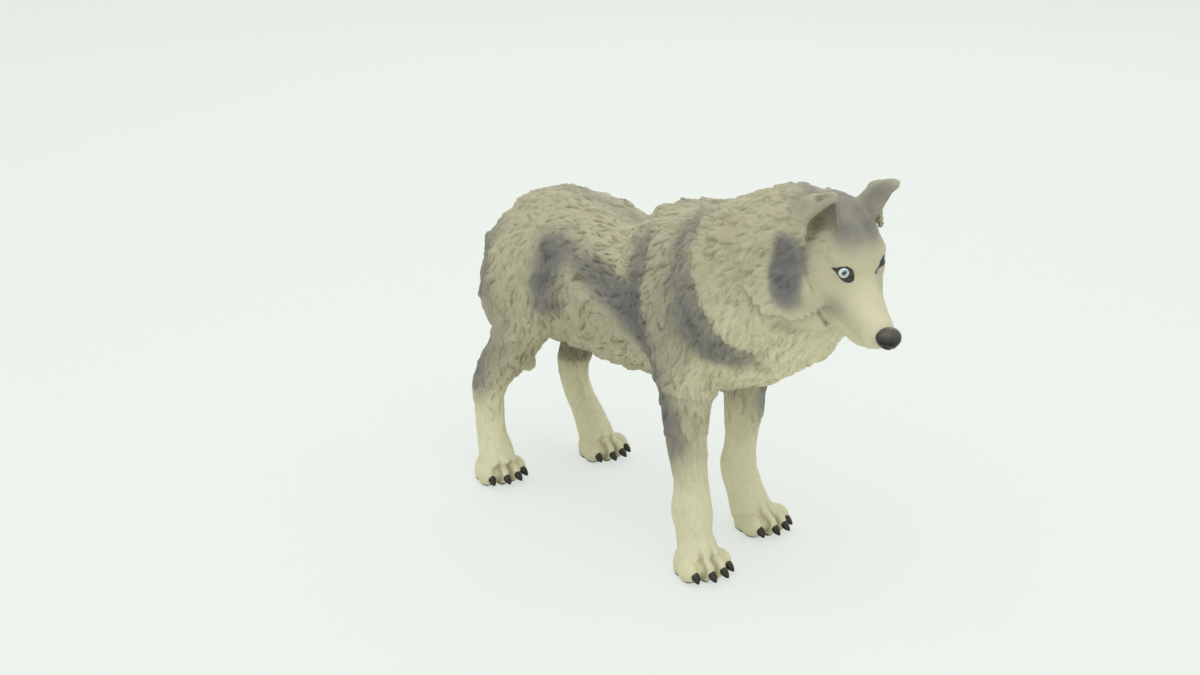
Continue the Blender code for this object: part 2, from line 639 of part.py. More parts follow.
def paint(figure: bpy.types.Object) -> None:
    """Give the figure its plain rubber."""
    rubber = bpy.data.materials.new("wolf_rubber")
    rubber.use_nodes = True
    surface = rubber.node_tree.nodes["Principled BSDF"]
    surface.inputs["Base Color"].default_value = (0.42, 0.39, 0.29, 1.0)
    surface.inputs["Roughness"].default_value = 0.6
    figure.data.materials.clear()
    figure.data.materials.append(rubber)


def main() -> Vector:
    """Build the wolf figure and return how far it was shifted."""
    clear_scene()
    figure = build_solid()
    remesh(figure)
    mesh = figure.data
    edges = read_edges(mesh)
    points = read_points(mesh)
    points = relax(points, edges, blend_weights(points), BLEND_STEPS)
    write_points(mesh, points)
    normals = read_normals(mesh)
    take = furred(points)
    points = points + normals * comb(points, normals, take)[:, None]
    points = points + normals * (edge_heights(points) * take)[:, None]
    points = points - normals * (cut_mouth(points, normals) + carve_head(points))[:, None]
    points = relax(points, edges, take * 0.6, 1)
    write_points(mesh, points)
    local = to_head(points)
    face = np.clip((local[:, 0] + 26.0) / 10.0, 0.0, 1.0) * (points[:, 2] > FACE_LOW)
    toes = np.clip((9.0 - points[:, 2]) / 4.0, 0.0, 1.0)
    reduce_mesh(figure, np.clip(0.25 + 0.17 * np.maximum(face, toes), 0.0, 1.0))
    shift = stand(figure)
    paint(figure)
    collection = bpy.data.collections.new(NAME)
    bpy.context.scene.collection.children.link(collection)
    bpy.context.scene.collection.objects.unlink(figure)
    collection.objects.link(figure)
    return shift


SHIFT = main()
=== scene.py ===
"""Looks of the moulded rubber wolf figure.

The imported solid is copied, given finer forms and fur relief, and dressed as
painted rubber. Measures are in millimetres in a (forward, left, up) frame,
and are turned into the frame's metres when a mesh is written.
"""

import json
import logging
import math
from dataclasses import dataclass, field
from enum import Enum
from typing import Optional

import bmesh
import bpy
import numpy as np
from mathutils import Matrix, Vector, kdtree, noise
from mathutils.bvhtree import BVHTree

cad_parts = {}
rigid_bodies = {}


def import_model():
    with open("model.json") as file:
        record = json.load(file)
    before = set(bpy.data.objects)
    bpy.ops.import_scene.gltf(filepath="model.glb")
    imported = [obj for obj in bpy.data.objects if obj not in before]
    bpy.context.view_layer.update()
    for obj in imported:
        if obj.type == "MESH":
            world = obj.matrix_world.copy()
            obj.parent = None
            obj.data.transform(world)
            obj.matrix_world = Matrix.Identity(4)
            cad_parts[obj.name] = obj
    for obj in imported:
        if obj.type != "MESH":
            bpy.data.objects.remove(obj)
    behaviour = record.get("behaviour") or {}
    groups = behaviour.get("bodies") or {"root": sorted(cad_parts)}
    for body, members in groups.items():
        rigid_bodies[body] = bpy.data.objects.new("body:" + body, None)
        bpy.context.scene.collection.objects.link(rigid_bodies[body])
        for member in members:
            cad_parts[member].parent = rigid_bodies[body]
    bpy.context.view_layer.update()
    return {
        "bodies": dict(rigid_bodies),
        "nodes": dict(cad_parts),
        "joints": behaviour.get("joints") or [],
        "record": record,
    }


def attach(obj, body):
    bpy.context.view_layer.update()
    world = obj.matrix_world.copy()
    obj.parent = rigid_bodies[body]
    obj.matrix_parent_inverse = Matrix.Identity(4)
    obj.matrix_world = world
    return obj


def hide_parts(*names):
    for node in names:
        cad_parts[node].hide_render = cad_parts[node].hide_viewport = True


LOG = logging.getLogger("wolf")
MM = 0.001
NODE = "wolf_figure"
BODY = "root"
# Where the solid's own origin lies in the frame: left and back, in millimetres.
SHIFT_LEFT = -2.28
SHIFT_BACK = 76.76

Colour = tuple[float, float, float, float]
Triple = tuple[float, float, float]
# Place along and up, half sizes along and up, and turn in degrees.
Oval = tuple[float, float, float, float, float]


def srgb(red: int, green: int, blue: int) -> Colour:
    """Turn display colour steps into the linear colour that a socket holds.

    Args:
        red: Red, 0 to 255.
        green: Green, 0 to 255.
        blue: Blue, 0 to 255.

    Returns:
        The linear colour with full alpha.
    """
    def linear(step: int) -> float:
        """Linear value of one display step."""
        share = step / 255.0
        return share / 12.92 if share <= 0.04045 else ((share + 0.055) / 1.055) ** 2.4

    return linear(red), linear(green), linear(blue), 1.0


def unit(vector: np.ndarray) -> np.ndarray:
    """Return a vector at length one."""
    vector = np.asarray(vector, dtype=float)
    return vector / max(float(np.sqrt((vector * vector).sum())), 1e-12)


def to_world(points: np.ndarray) -> np.ndarray:
    """Turn (forward, left, up) millimetres into the frame's metres."""
    points = np.atleast_2d(np.asarray(points, dtype=float))
    return np.stack((points[:, 1] + SHIFT_LEFT, SHIFT_BACK - points[:, 0], points[:, 2]), axis=1) * MM


def from_world(points: np.ndarray) -> np.ndarray:
    """Turn the frame's metres into (forward, left, up) millimetres."""
    points = np.atleast_2d(np.asarray(points, dtype=float)) / MM
    return np.stack((SHIFT_BACK - points[:, 1], points[:, 0] - SHIFT_LEFT, points[:, 2]), axis=1)


def fold(points: np.ndarray) -> np.ndarray:
    """Fold points of either side to the left side."""
    return np.stack((points[:, 0], np.abs(points[:, 1]), points[:, 2]), axis=1)


def plain_rows(rows: tuple[np.ndarray, ...]) -> tuple[Triple, ...]:
    """Return directions as plain numbers."""
    return tuple(tuple(float(v) for v in row) for row in rows)


def along_segments(points: np.ndarray, line: tuple[Triple, ...]) -> list[tuple[np.ndarray, np.ndarray, float]]:
    """Measure points against each stretch of a line.

    Args:
        points: Places to measure.
        line: Nodes of the line.

    Returns:
        For each stretch the share along it, the offset from it and its length.
    """
    nodes = np.array(line, dtype=float)
    found = []
    for a, b in zip(nodes[:-1], nodes[1:]):
        span = b - a
        size = float(np.sqrt((span * span).sum()))
        share = np.clip(((points - a) @ span) / (size * size), 0.0, 1.0)
        found.append((share, points - (a + share[:, None] * span), size))
    return found


def soft_step(value: np.ndarray, width: float) -> np.ndarray:
    """Rise smoothly from 0 to 1 around zero over about the given width."""
    return 1.0 / (1.0 + np.exp(-np.clip(value / width, -30.0, 30.0)))


def fine_noise(points: np.ndarray, size: float, offset: float = 0.0) -> np.ndarray:
    """Return smooth noise between about -1 and 1.

    Args:
        points: Places in millimetres.
        size: Size of a feature in millimetres.
        offset: Shift that gives another pattern.

    Returns:
        One value for each place.
    """
    scaled = points / size + offset
    return np.array([noise.noise(p) for p in scaled])


@dataclass(frozen=True)
class Frame3:
    """A placed frame of three directions, in (forward, left, up) millimetres."""

    origin: Triple
    rows: tuple[Triple, Triple, Triple]

    def local(self, points: np.ndarray) -> np.ndarray:
        """Return body points in this frame."""
        return (np.atleast_2d(points) - np.array(self.origin)) @ np.array(self.rows).T

    def place(self, points: np.ndarray) -> np.ndarray:
        """Return points of this frame in the body frame."""
        return np.atleast_2d(points) @ np.array(self.rows) + np.array(self.origin)

    def direction(self, vector: Triple) -> np.ndarray:
        """Return a direction of this frame in the body frame."""
        return np.asarray(vector, dtype=float) @ np.array(self.rows)

    def world_matrix(self) -> Matrix:
        """Return the matrix that takes this frame's millimetres to the frame's metres."""
        spots = to_world(self.place(np.array(((0, 0, 0), (1, 0, 0), (0, 1, 0), (0, 0, 1)), dtype=float)))
        out = Matrix.Identity(4)
        for axis in range(3):
            for row in range(3):
                out[row][axis] = spots[axis + 1][row] - spots[0][row]
        for row in range(3):
            out[row][3] = spots[0][row]
        return out


def turned_frame(origin: Triple, yaw: float, pitch: float, roll: float) -> Frame3:
    """Make a frame turned right, down and tilted right side down.

    Args:
        origin: Its origin in the body frame.
        yaw: Turn to the right in degrees.
        pitch: Turn downwards in degrees.
        roll: Tilt of the right side downwards in degrees.

    Returns:
        The frame.
    """
    y, p, r = (math.radians(v) for v in (yaw, pitch, roll))
    forward = np.array((math.cos(y) * math.cos(p), -math.sin(y) * math.cos(p), -math.sin(p)))
    level = np.array((math.sin(y), math.cos(y), 0.0))
    above = np.cross(forward, level)
    left = level * math.cos(r) + above * math.sin(r)
    up = above * math.cos(r) - level * math.sin(r)
    return Frame3(origin, plain_rows((forward, left, up)))


HEAD = turned_frame((173.5, -2.0, 122.6), 10.0, 31.0, 5.0)


class Side(Enum):
    """The two sides of the figure, as the sign of the left direction."""

    RIGHT = -1.0
    LEFT = 1.0


@dataclass(frozen=True)
class Paw:
    """Place of one paw and the turn of its toes to the left in degrees."""

    name: str
    forward: float
    left: float
    yaw: float

    def frame(self) -> Frame3:
        """Return the paw's own frame, level and at the floor."""
        return turned_frame((self.forward, self.left, 0.0), -self.yaw, 0.0, 0.0)


PAWS = (
    Paw("hind_right", -4.0, -22.5, 0.0),
    Paw("hind_left", 4.5, 26.8, 3.0),
    Paw("fore_right", 116.0, -20.5, -2.0),
    Paw("fore_left", 102.2, 24.6, 5.0),
)
TOE_SPREAD = (-7.7, -2.5, 2.7, 7.3)
TOE_REACH = (2.8, 5.6, 5.6, 2.8)


class MeshTool:
    """Reading, writing and finishing of meshes in body millimetres."""

    @staticmethod
    def new_object(name: str, bm: bmesh.types.BMesh) -> bpy.types.Object:
        """Make an object of a bmesh and free the bmesh."""
        mesh = bpy.data.meshes.new(name)
        bm.to_mesh(mesh)
        bm.free()
        made = bpy.data.objects.new(name, mesh)
        bpy.context.scene.collection.objects.link(made)
        return made

    @staticmethod
    def settle(piece: bpy.types.Object) -> None:
        """Replace the mesh of a piece by its evaluated mesh."""
        graph = bpy.context.evaluated_depsgraph_get()
        graph.update()
        done = bpy.data.meshes.new_from_object(piece.evaluated_get(graph))
        piece.modifiers.clear()
        old = piece.data
        piece.data = done
        bpy.data.meshes.remove(old)
        done.name = piece.name

    @staticmethod
    def read(rows: bpy.types.bpy_prop_collection, name: str, width: int = 3, kind: type = float) -> np.ndarray:
        """Read one property of every row of a mesh.

        Args:
            rows: The mesh's vertices, edges, faces or values.
            name: Name of the property.
            width: Count of numbers in the property.
            kind: Type of the numbers.

        Returns:
            One row for each, or a flat array where the width is one.
        """
        flat = np.empty(len(rows) * width, dtype=kind)
        rows.foreach_get(name, flat)
        return flat.reshape(-1, width) if width > 1 else flat

    @staticmethod
    def points(mesh: bpy.types.Mesh) -> np.ndarray:
        """Return the vertices in body millimetres."""
        return from_world(MeshTool.read(mesh.vertices, "co"))

    @staticmethod
    def write(mesh: bpy.types.Mesh, points: np.ndarray) -> None:
        """Write body millimetres back to the vertices."""
        mesh.vertices.foreach_set("co", to_world(points).ravel())
        mesh.update()

    @staticmethod
    def normals(mesh: bpy.types.Mesh) -> np.ndarray:
        """Return the vertex normals in the body frame."""
        world = MeshTool.read(mesh.vertex_normals, "vector")
        return np.stack((-world[:, 1], world[:, 0], world[:, 2]), axis=1)

    @staticmethod
    def edges(mesh: bpy.types.Mesh) -> np.ndarray:
        """Return the vertex pairs of all edges."""
        return MeshTool.read(mesh.edges, "vertices", 2, np.int64)

    @staticmethod
    def relax(values: np.ndarray, edges: np.ndarray, weight: np.ndarray, steps: int) -> np.ndarray:
        """Move every row of values towards the mean of its neighbours.

        Args:
            values: Rows to smooth, one for each vertex.
            edges: Vertex pairs.
            weight: Share of the move for each vertex.
            steps: Number of rounds.

        Returns:
            The smoothed rows.
        """
        count = len(values)
        degree = np.maximum(np.bincount(edges.ravel(), minlength=count).astype(float), 1.0)[:, None]
        for _ in range(steps):
            total = np.empty_like(values)
            for axis in range(values.shape[1]):
                total[:, axis] = (np.bincount(edges[:, 0], values[edges[:, 1], axis], count)
                                  + np.bincount(edges[:, 1], values[edges[:, 0], axis], count))
            values = values + (total / degree - values) * weight[:, None] * 0.5
        return values

    @staticmethod
    def attribute(mesh: bpy.types.Mesh, name: str, values: np.ndarray) -> None:
        """Store one number or one vector for each vertex."""
        kind = "FLOAT" if values.ndim == 1 else "FLOAT_VECTOR"
        layer = mesh.attributes.get(name) or mesh.attributes.new(name, kind, "POINT")
        layer.data.foreach_set("value" if values.ndim == 1 else "vector", values.astype(np.float32).ravel())

    @staticmethod
    def shade_smooth(piece: bpy.types.Object) -> None:
        """Shade a piece smoothly."""
        piece.data.polygons.foreach_set("use_smooth", [True] * len(piece.data.polygons))
        piece.data.update()


@dataclass(frozen=True)
class Ridge:
    """The rear edge of a layer of long fur, given on the left side and mirrored.

    The layer stands proud in front of the line, and the line is cut into tufts.
    """

    line: tuple[Triple, ...]
    rise: float
    drop: float
    reach: float
    tuft: float
    ahead: Triple = (1.0, 0.0, 0.0)

    def measure(self, points: np.ndarray) -> tuple[np.ndarray, np.ndarray]:
        """Return the signed distance in front of the tufted line and the distance from the line."""
        best = np.full(len(points), 1e9)
        signed = np.zeros(len(points))
        place = np.zeros(len(points))
        run = 0.0
        for share, away, size in along_segments(fold(points), self.line):
            gap = np.sqrt((away * away).sum(axis=1))
            closer = gap < best
            best[closer] = gap[closer]
            signed[closer] = np.where(away[closer] @ np.array(self.ahead) >= 0, gap[closer], -gap[closer])
            place[closer] = run + share[closer] * size
            run += size
        wander = place + 3.0 * np.sin(place * 0.23) + np.sign(points[:, 1]) * 2.1
        lobe = np.abs(np.sin(wander * math.pi / self.tuft))
        return signed + self.tuft * 0.42 * (lobe - 0.35), best

    def height(self, points: np.ndarray) -> tuple[np.ndarray, np.ndarray]:
        """Return how far the layer moves each point outwards and the painted shade just behind the line."""
        ahead, gap = self.measure(points)
        close = np.exp(-(gap / (self.reach * 2.0)) ** 2)
        front = self.rise * np.exp(-np.maximum(ahead, 0.0) / self.reach)
        back = -self.drop * np.exp(np.minimum(ahead, 0.0) / (self.reach * 0.35))
        side = soft_step(ahead, 0.28)
        # Painted shade in the strip just behind the layer's tufted edge.
        shown = np.exp(-((np.minimum(ahead, 0.0) + 0.4) / 1.6) ** 2) * (1.0 - side)
        fade = 1.0 - 0.7 * np.clip((points[:, 2] - 116.0) / 12.0, 0.0, 1.0)
        return (front * side + back * (1.0 - side)) * close * fade, shown * close * fade


CAPE = Ridge(((70, 0, 128), (79, 6, 129), (88, 19, 126), (92, 23, 120), (94, 28, 113), (94.5, 29, 104),
                      (96, 29, 94), (97, 28, 87), (100, 29, 80), (103, 28, 73), (108, 24, 68)), 0.8, 0.7, 7.0, 5.0)
RUFF = Ridge(((96, 0, 134), (100, 5, 134), (114, 22, 131), (117, 26, 125), (120, 30, 119), (123, 30, 112),
                      (126, 29.5, 105), (130, 28.5, 98), (138, 25, 94), (142, 20, 90), (144, 12, 84), (146, 0, 80)),
             0.8, 0.6, 7.0, 5.5)
JOWL = Ridge(((143, 27, 115), (149, 25, 109.5), (154, 22.5, 108), (158, 17, 106.8), (161, 14, 108.5),
                      (163.5, 11.5, 112)), 1.2, 0.9, 4.0, 4.0, (0.3, 0.0, 1.0))
APRON = Ridge(((92, 28, 74), (98, 29, 71.5), (104, 29, 70), (110, 28, 69.5), (116, 26, 69), (120, 20, 68),
                        (122, 10, 67), (122, 0, 66)), 0.4, 0.2, 7.0, 3.6, (0.0, 0.0, 1.0))
RIDGES = (CAPE, RUFF, JOWL, APRON)


@dataclass(frozen=True)
class Comb:
    """The direction the fur lies in, from rows of a place on the left side and the direction there."""

    marks: tuple[tuple[float, ...], ...] = (
        (30, 0, 125, -1, 0, -0.1), (60, 0, 121, -1, 0, 0), (0, 0, 120, -1, 0, -0.5), (-20, 0, 104, -0.4, 0, -1),
        (-22, 10, 85, -0.1, 0, -1), (10, 16, 115, -1, 0.3, -0.4), (42, 20, 109, -1, 0.1, -0.15),
        (29, 24, 92, -0.15, 0, -1), (33, 24, 84, 0.3, 0, -1), (62, 20, 99, -0.8, 0, 0.55),
        (44, 22, 97, -0.9, 0, -0.3), (46, 22, 86, -0.5, 0, -0.9), (5, 24, 90, -0.5, 0, -1),
        (10, 26, 70, -0.25, 0, -1), (60, 18, 112, -1, 0.2, 0.05), (78, 22, 110, -1, 0.1, -0.1),
        (74, 22, 97, -0.9, 0, -0.6), (82, 24, 88, -0.8, 0, -1), (60, 16, 74, -0.5, 0, -1), (84, 16, 70, -0.6, 0, -1),
        (60, 0, 62, -1, 0, 0), (85, 8, 130, -1, 0.3, 0), (100, 27, 114, -0.7, 0, -1), (104, 28, 96, -0.5, 0, -1),
        (110, 28, 80, -0.3, 0, -1), (110, 10, 136, -1, 0.3, -0.1), (128, 27, 122, -0.9, 0, -0.45),
        (134, 29, 112, -0.6, 0, -1), (142, 26, 102, -0.5, 0, -1), (130, 26, 88, -0.42, 0, -1),
        (150, 18, 96, -0.4, 0, -1), (148, 0, 80, -0.4, 0, -1), (130, 8, 145, -1, 0.3, 0.1),
        (150, 20, 128, -0.9, 0.2, -0.5), (160, 16, 112, -0.7, 0, -0.8), (128, 0, 66, -0.7, 0, -0.7),
        (114, 22, 60, -0.1, 0, -1), (96, 22, 60, -0.1, 0, -1), (10, 22, 55, -0.1, 0, -1), (112, 22, 30, 0, 0, -1),
        (0, 24, 30, 0, 0, -1),
    )
    spread: float = 13.0

    def ways(self, points: np.ndarray) -> np.ndarray:
        """Return the direction at each point, not yet laid on the surface."""
        side = np.where(points[:, 1] >= 0, 1.0, -1.0)
        total = np.zeros_like(points)
        for mark in self.marks:
            away = fold(points) - np.array(mark[:3], dtype=float)
            gain = 1.0 / (1.0 + (away * away).sum(axis=1) / self.spread ** 2) ** 3
            total += gain[:, None] * unit(np.array(mark[3:]))
        total[:, 1] *= side
        return total


@dataclass(frozen=True)
class StrokeKind:
    """One kind of sculpted stroke: how many, how long, how wide and how deep."""

    count: int
    length: float
    width: float
    depth: float
    wander: float
    seed: int
    lip: float = 0.35


TUFTS = StrokeKind(950, 11.0, 4.6, 0.80, 0.30, 11)
CHISEL = StrokeKind(3600, 5.8, 1.35, 0.40, 0.30, 23)
HAIRS = StrokeKind(12000, 4.4, 1.05, 0.20, 0.22, 31)
STRANDS = StrokeKind(820, 10.0, 1.5, 0.55, 0.11, 47)


@dataclass
class WolfSkin:
    """The whole moulded skin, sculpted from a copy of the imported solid."""

    voxel: float = 0.43
    blend_steps: int = 9
    stop_steps: int = 75
    slices: int = 5
    comb: Comb = field(default_factory=Comb)
    # The rolled outer rim of an ear and the fold behind it: places and radii in the head's frame.
    ear_rim: tuple[tuple[Triple, float], ...] = (
        ((-16.6, 15.6, 3.0), 1.5), ((-19.2, 15.2, 6.0), 2.0), ((-20.9, 14.4, 8.4), 2.3), ((-20.8, 13.8, 11.6), 2.3),
        ((-19.2, 13.4, 15.4), 2.0), ((-17.0, 12.9, 19.4), 1.7), ((-15.0, 12.6, 22.8), 1.3), ((-13.4, 12.4, 25.4), 0.9),
    )
    ear_fold: tuple[tuple[Triple, float], ...] = (
        ((-23.4, 16.0, 7.0), 2.4), ((-24.2, 14.2, 10.5), 2.7), ((-23.2, 13.3, 14.5), 2.6), ((-20.4, 12.8, 18.6), 2.2),
    )
    mouth: tuple[Triple, ...] = ((-1.6, 12.6, -15.2), (-0.6, 11.9, -16.5), (0.8, 10.7, -18.1), (1.9, 8.9, -20.0),
                                 (5.0, 7.2, -20.4), (9.0, 5.9, -19.8), (14.5, 4.6, -17.9), (19.3, 2.6, -15.4),
                                 (20.1, 0.0, -14.6))
    # Patches that hold the lie of the fur: their size, and the skin's area that they cover.
    patch_size: float = 9.0
    skin_area: float = 58800.0
    patch_overlap: float = 1.6

    @staticmethod
    def copy_solid(node: bpy.types.Object) -> bmesh.types.BMesh:
        """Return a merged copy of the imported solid."""
        bm = bmesh.new()
        bm.from_mesh(node.data)
        bmesh.ops.remove_doubles(bm, verts=bm.verts, dist=1e-6)
        return bm

    @staticmethod
    def add_ball(bm: bmesh.types.BMesh, frame: Frame3, centre: Triple, radii: Triple, turn: Triple = (0, 0, 0)) -> None:
        """Add an ellipsoid in a frame.

        Args:
            bm: Mesh to add to.
            frame: Frame that the measures are in.
            centre: Centre in the frame.
            radii: Half sizes in the frame.
            turn: Turn about the frame's three directions in degrees.
        """
        local = Matrix.Translation(Vector(centre))
        for axis, angle in zip("XYZ", turn):
            local = local @ Matrix.Rotation(math.radians(angle), 4, axis)
        local = local @ Matrix.Diagonal((*radii, 1.0))
        bmesh.ops.create_icosphere(bm, subdivisions=4, radius=1.0, matrix=frame.world_matrix() @ local)

    def add_roll(self, bm: bmesh.types.BMesh, side: Side, roll: tuple[tuple[Triple, float], ...]) -> None:
        """Add a roll of close balls along places of the head's frame."""
        for (a, first), (b, last) in zip(roll[:-1], roll[1:]):
            for step in range(4):
                share = step / 4.0
                size = first + (last - first) * share
                spot = np.array(a) + (np.array(b) - np.array(a)) * share
                centre = (float(spot[0]), float(spot[1]) * side.value, float(spot[2]))
                self.add_ball(bm, HEAD, centre, (size, size, size))

    def add_lock(self, bm: bmesh.types.BMesh, place: np.ndarray, way: np.ndarray, length: float, width: float) -> None:
        """Add one pointed lock of hair that hangs from a place on the surface.

        Args:
            bm: Mesh to add to.
            place: Its root in the body frame.
            way: The direction that it points in.
            length: Its length in millimetres.
            width: Its widest thickness.
        """
        made = bmesh.ops.create_icosphere(bm, subdivisions=3, radius=1.0)
        spots = to_world(np.stack((place, place + unit(way))))
        axis = Vector(spots[1] - spots[0]).normalized()
        turn = Vector((0.0, 0.0, 1.0)).rotation_difference(axis).to_matrix().to_4x4()
        for vert in made["verts"]:
            share = (vert.co.z + 1.0) * 0.5
            thin = width * 0.5 * (1.0 - 0.75 * share)
            vert.co = Vector((vert.co.x * thin, vert.co.y * thin, (share - 0.25) * length)) * MM
        bmesh.ops.transform(bm, matrix=Matrix.Translation(Vector(spots[0])) @ turn, verts=made["verts"])

    def add_fringe(self, bm: bmesh.types.BMesh, solid: BVHTree, ridge: "Ridge", spacing: float, length: float,
                   width: float, drop: Triple) -> None:
        """Lay locks on the solid's surface along a ridge's line on both sides."""
        draw = np.random.RandomState(61)
        nodes = np.array(ridge.line, dtype=float)
        for side in Side:
            for a, b in zip(nodes[:-1], nodes[1:]):
                span = float(np.sqrt(((b - a) ** 2).sum()))
                for step in range(max(1, int(round(span / spacing)))):
                    spot = a + (b - a) * (step + draw.uniform(0.0, 0.8)) * spacing / span
                    way = np.array(drop) + draw.normal(0.0, 0.22, 3)
                    size = draw.uniform(0.7, 1.3)
                    thick = width * draw.uniform(0.8, 1.2)
                    flip = np.array((1.0, side.value, 1.0))
                    found, normal, _, gap = solid.find_nearest(Vector(to_world(spot * flip)[0]))
                    if found is None or gap > 3.5 * MM:
                        continue
                    out = np.array((-normal[1], normal[0], normal[2]))
                    way = unit(way * flip - out * float((way * flip) @ out)) - 0.04 * out
                    self.add_lock(bm, from_world(np.array(found))[0] - 0.45 * out, way, length * size, thick)

    def add_forms(self, bm: bmesh.types.BMesh) -> None:
        """Add the forms that the solid gives only roughly: toes, brows, lips, ears and jowls."""
        solid = BVHTree.FromBMesh(bm)
        for paw in PAWS:
            frame = paw.frame()
            for offset, reach in zip(TOE_SPREAD, TOE_REACH):
                fan = -offset * 1.6
                self.add_ball(bm, frame, (reach + 0.7, offset, 4.2), (5.6, 3.2, 4.7), (0, -14, -fan))
        for side in Side:
            sign = side.value
            self.add_ball(bm, HEAD, (-7.5, 5.2 * sign, 5.4), (6.0, 4.2, 2.4), (0, 14, -18 * sign))
            self.add_ball(bm, HEAD, (14.4, 2.9 * sign, -12.8), (5.2, 3.4, 3.9), (0, 10, 12 * sign))
            self.add_roll(bm, side, self.ear_rim)
            self.add_roll(bm, side, self.ear_fold)
        self.add_fringe(bm, solid, JOWL, 2.6, 7.0, 3.0, (-0.75, 0.0, -0.75))

    def join(self, bm: bmesh.types.BMesh) -> bpy.types.Object:
        """Join everything in one fine closed skin."""
        piece = MeshTool.new_object("wolf_skin", bm)
        step = piece.modifiers.new("join", "REMESH")
        step.mode = "VOXEL"
        step.voxel_size = self.voxel * MM
        step.adaptivity = 0.0
        MeshTool.settle(piece)
        return piece

    @staticmethod
    def face_share(points: np.ndarray) -> np.ndarray:
        """Return 1 on the smooth face and ears and 0 on the furred body."""
        local = HEAD.local(points)
        face = soft_step(local[:, 0] + 11.0 - 0.16 * np.abs(local[:, 1]), 2.4) * soft_step(local[:, 2] + 21.5, 1.2)
        ears = soft_step(local[:, 2] - 9.0, 1.2) * soft_step(local[:, 0] + 30.0, 2.0)
        return np.maximum(face, ears)

    @staticmethod
    def leg_share(points: np.ndarray) -> np.ndarray:
        """Return 1 on the smooth lower legs and 0 on the furred body."""
        fore = soft_step(44.0 - points[:, 2], 7.0) * soft_step(points[:, 0] - 80.0, 4.0)
        hind = soft_step(34.0 - points[:, 2], 6.0) * soft_step(60.0 - points[:, 0], 4.0)
        return np.clip(fore + hind, 0.0, 1.0)

    @staticmethod
    def chest_share(points: np.ndarray) -> np.ndarray:
        """Return 1 where long parallel strands hang behind the ruff and on the chest."""
        away = (points[:, 0] - 128.0) / 19.0, (points[:, 2] - 83.0) / 12.0
        return np.clip(1.6 * np.exp(-(away[0] ** 2 + away[1] ** 2)), 0.0, 1.0)

    def stroke(self, kind: StrokeKind, points: np.ndarray, normals: np.ndarray, take: np.ndarray,
               tree: kdtree.KDTree, ways: np.ndarray, grooves: bool) -> np.ndarray:
        """Work one kind of stroke into the surface.

        Args:
            kind: The kind of stroke.
            points: Vertices in body millimetres.
            normals: Vertex normals.
            take: How much of the relief each vertex takes.
            tree: Search tree over the vertices.
            ways: Fur direction at each vertex.
            grooves: True for cut strokes, false for raised tufts.

        Returns:
            The height of the strokes at each vertex.
        """
        draw = np.random.RandomState(kind.seed)
        chosen = draw.permutation(len(points))[:kind.count * 3]
        chosen = chosen[take[chosen] > 0.12][:kind.count]
        out = np.zeros(len(points))
        for index in chosen:
            normal = normals[index]
            way = unit(ways[index]) + draw.normal(0.0, kind.wander, 3)
            way = unit(way - normal * float((way * normal).sum()))
            across = np.cross(normal, way)
            size = draw.uniform(0.5, 1.5)
            bend = draw.normal(0.0, 0.22)
            height = kind.depth * draw.uniform(0.45, 1.25) * float(take[index])
            half = kind.length * size * 0.5
            ids = np.array([n[1] for n in tree.find_range(Vector(points[index]), half * 1.05 + kind.width * 0.4)])
            offset = points[ids] - points[index]
            along = (offset @ way) / half
            beside = (offset @ across) / (kind.width * size * 0.5) - bend * along * along * half / kind.width
            inside = (np.abs(along) < 1.0) & (np.abs(offset @ normal) < 3.0)
            if grooves:
                taper = np.sqrt(np.clip(1.0 - along * along, 0.0, 1.0)) * np.clip(1.3 + 0.5 * along, 0.3, 1.6)
                cut = -np.exp(-(beside / np.maximum(0.62 * taper, 0.05)) ** 2)
                lip = kind.lip * np.exp(-((beside - 1.15) / 0.75) ** 2)
                value = height * (cut + lip) * taper * inside
                out[ids] = np.where(np.abs(value) > np.abs(out[ids]), value, out[ids])
            else:
                taper = np.clip((1.0 - along) * 0.9, 0.0, 1.0) ** 0.5
                shape = np.clip(1.0 - (beside / np.maximum(taper, 0.08)) ** 2, 0.0, 1.0)
                rise = np.clip((along + 1.0) * 0.6, 0.0, 1.0) * np.clip((1.0 - along) * 3.2, 0.0, 1.0)
                out[ids] = np.maximum(out[ids], height * shape * rise * inside)
        return out

    def carve_face(self, points: np.ndarray) -> tuple[np.ndarray, np.ndarray]:
        """Return the heights and the dark lines carved into the face."""
        local = HEAD.local(points)
        near = np.nonzero((local[:, 0] > -30.0) & (local[:, 2] < 0.0) & (local[:, 2] > -30.0))[0]
        gap = np.full(len(points), 1e9)
        share_best = np.zeros(len(points))
        for index, (share, away, _) in enumerate(along_segments(fold(local)[near], self.mouth)):
            dist = np.sqrt((away * away).sum(axis=1))
            closer = dist < gap[near]
            gap[near[closer]] = dist[closer]
            share_best[near[closer]] = index + share[closer]
        lip = np.exp(-(gap / 0.70) ** 2)
        height = -0.80 * lip
        dark = np.exp(-(gap / 0.62) ** 2) * np.clip(1.2 - share_best * 0.14, 0.35, 1.0)
        # The stop between the eyes.
        stop = np.exp(-((local[:, 0] - 1.0) / 6.0) ** 2 - (local[:, 1] / 2.6) ** 2) * (local[:, 2] > 0)
        height = height - 0.35 * stop
        # The bed that the nose sits in.
        bed = (local - np.array((19.8, 0.3, -9.8))) / np.array((4.6, 5.4, 4.6))
        height = height - 1.0 * np.exp(-((bed * bed).sum(axis=1)) ** 3)
        # The split of the upper lip below the nose.
        split = np.exp(-(local[:, 1] / 0.5) ** 2) * soft_step(local[:, 0] - 17.0, 0.8) * (local[:, 2] < -11.0)
        height = height - 0.5 * split
        return height, dark

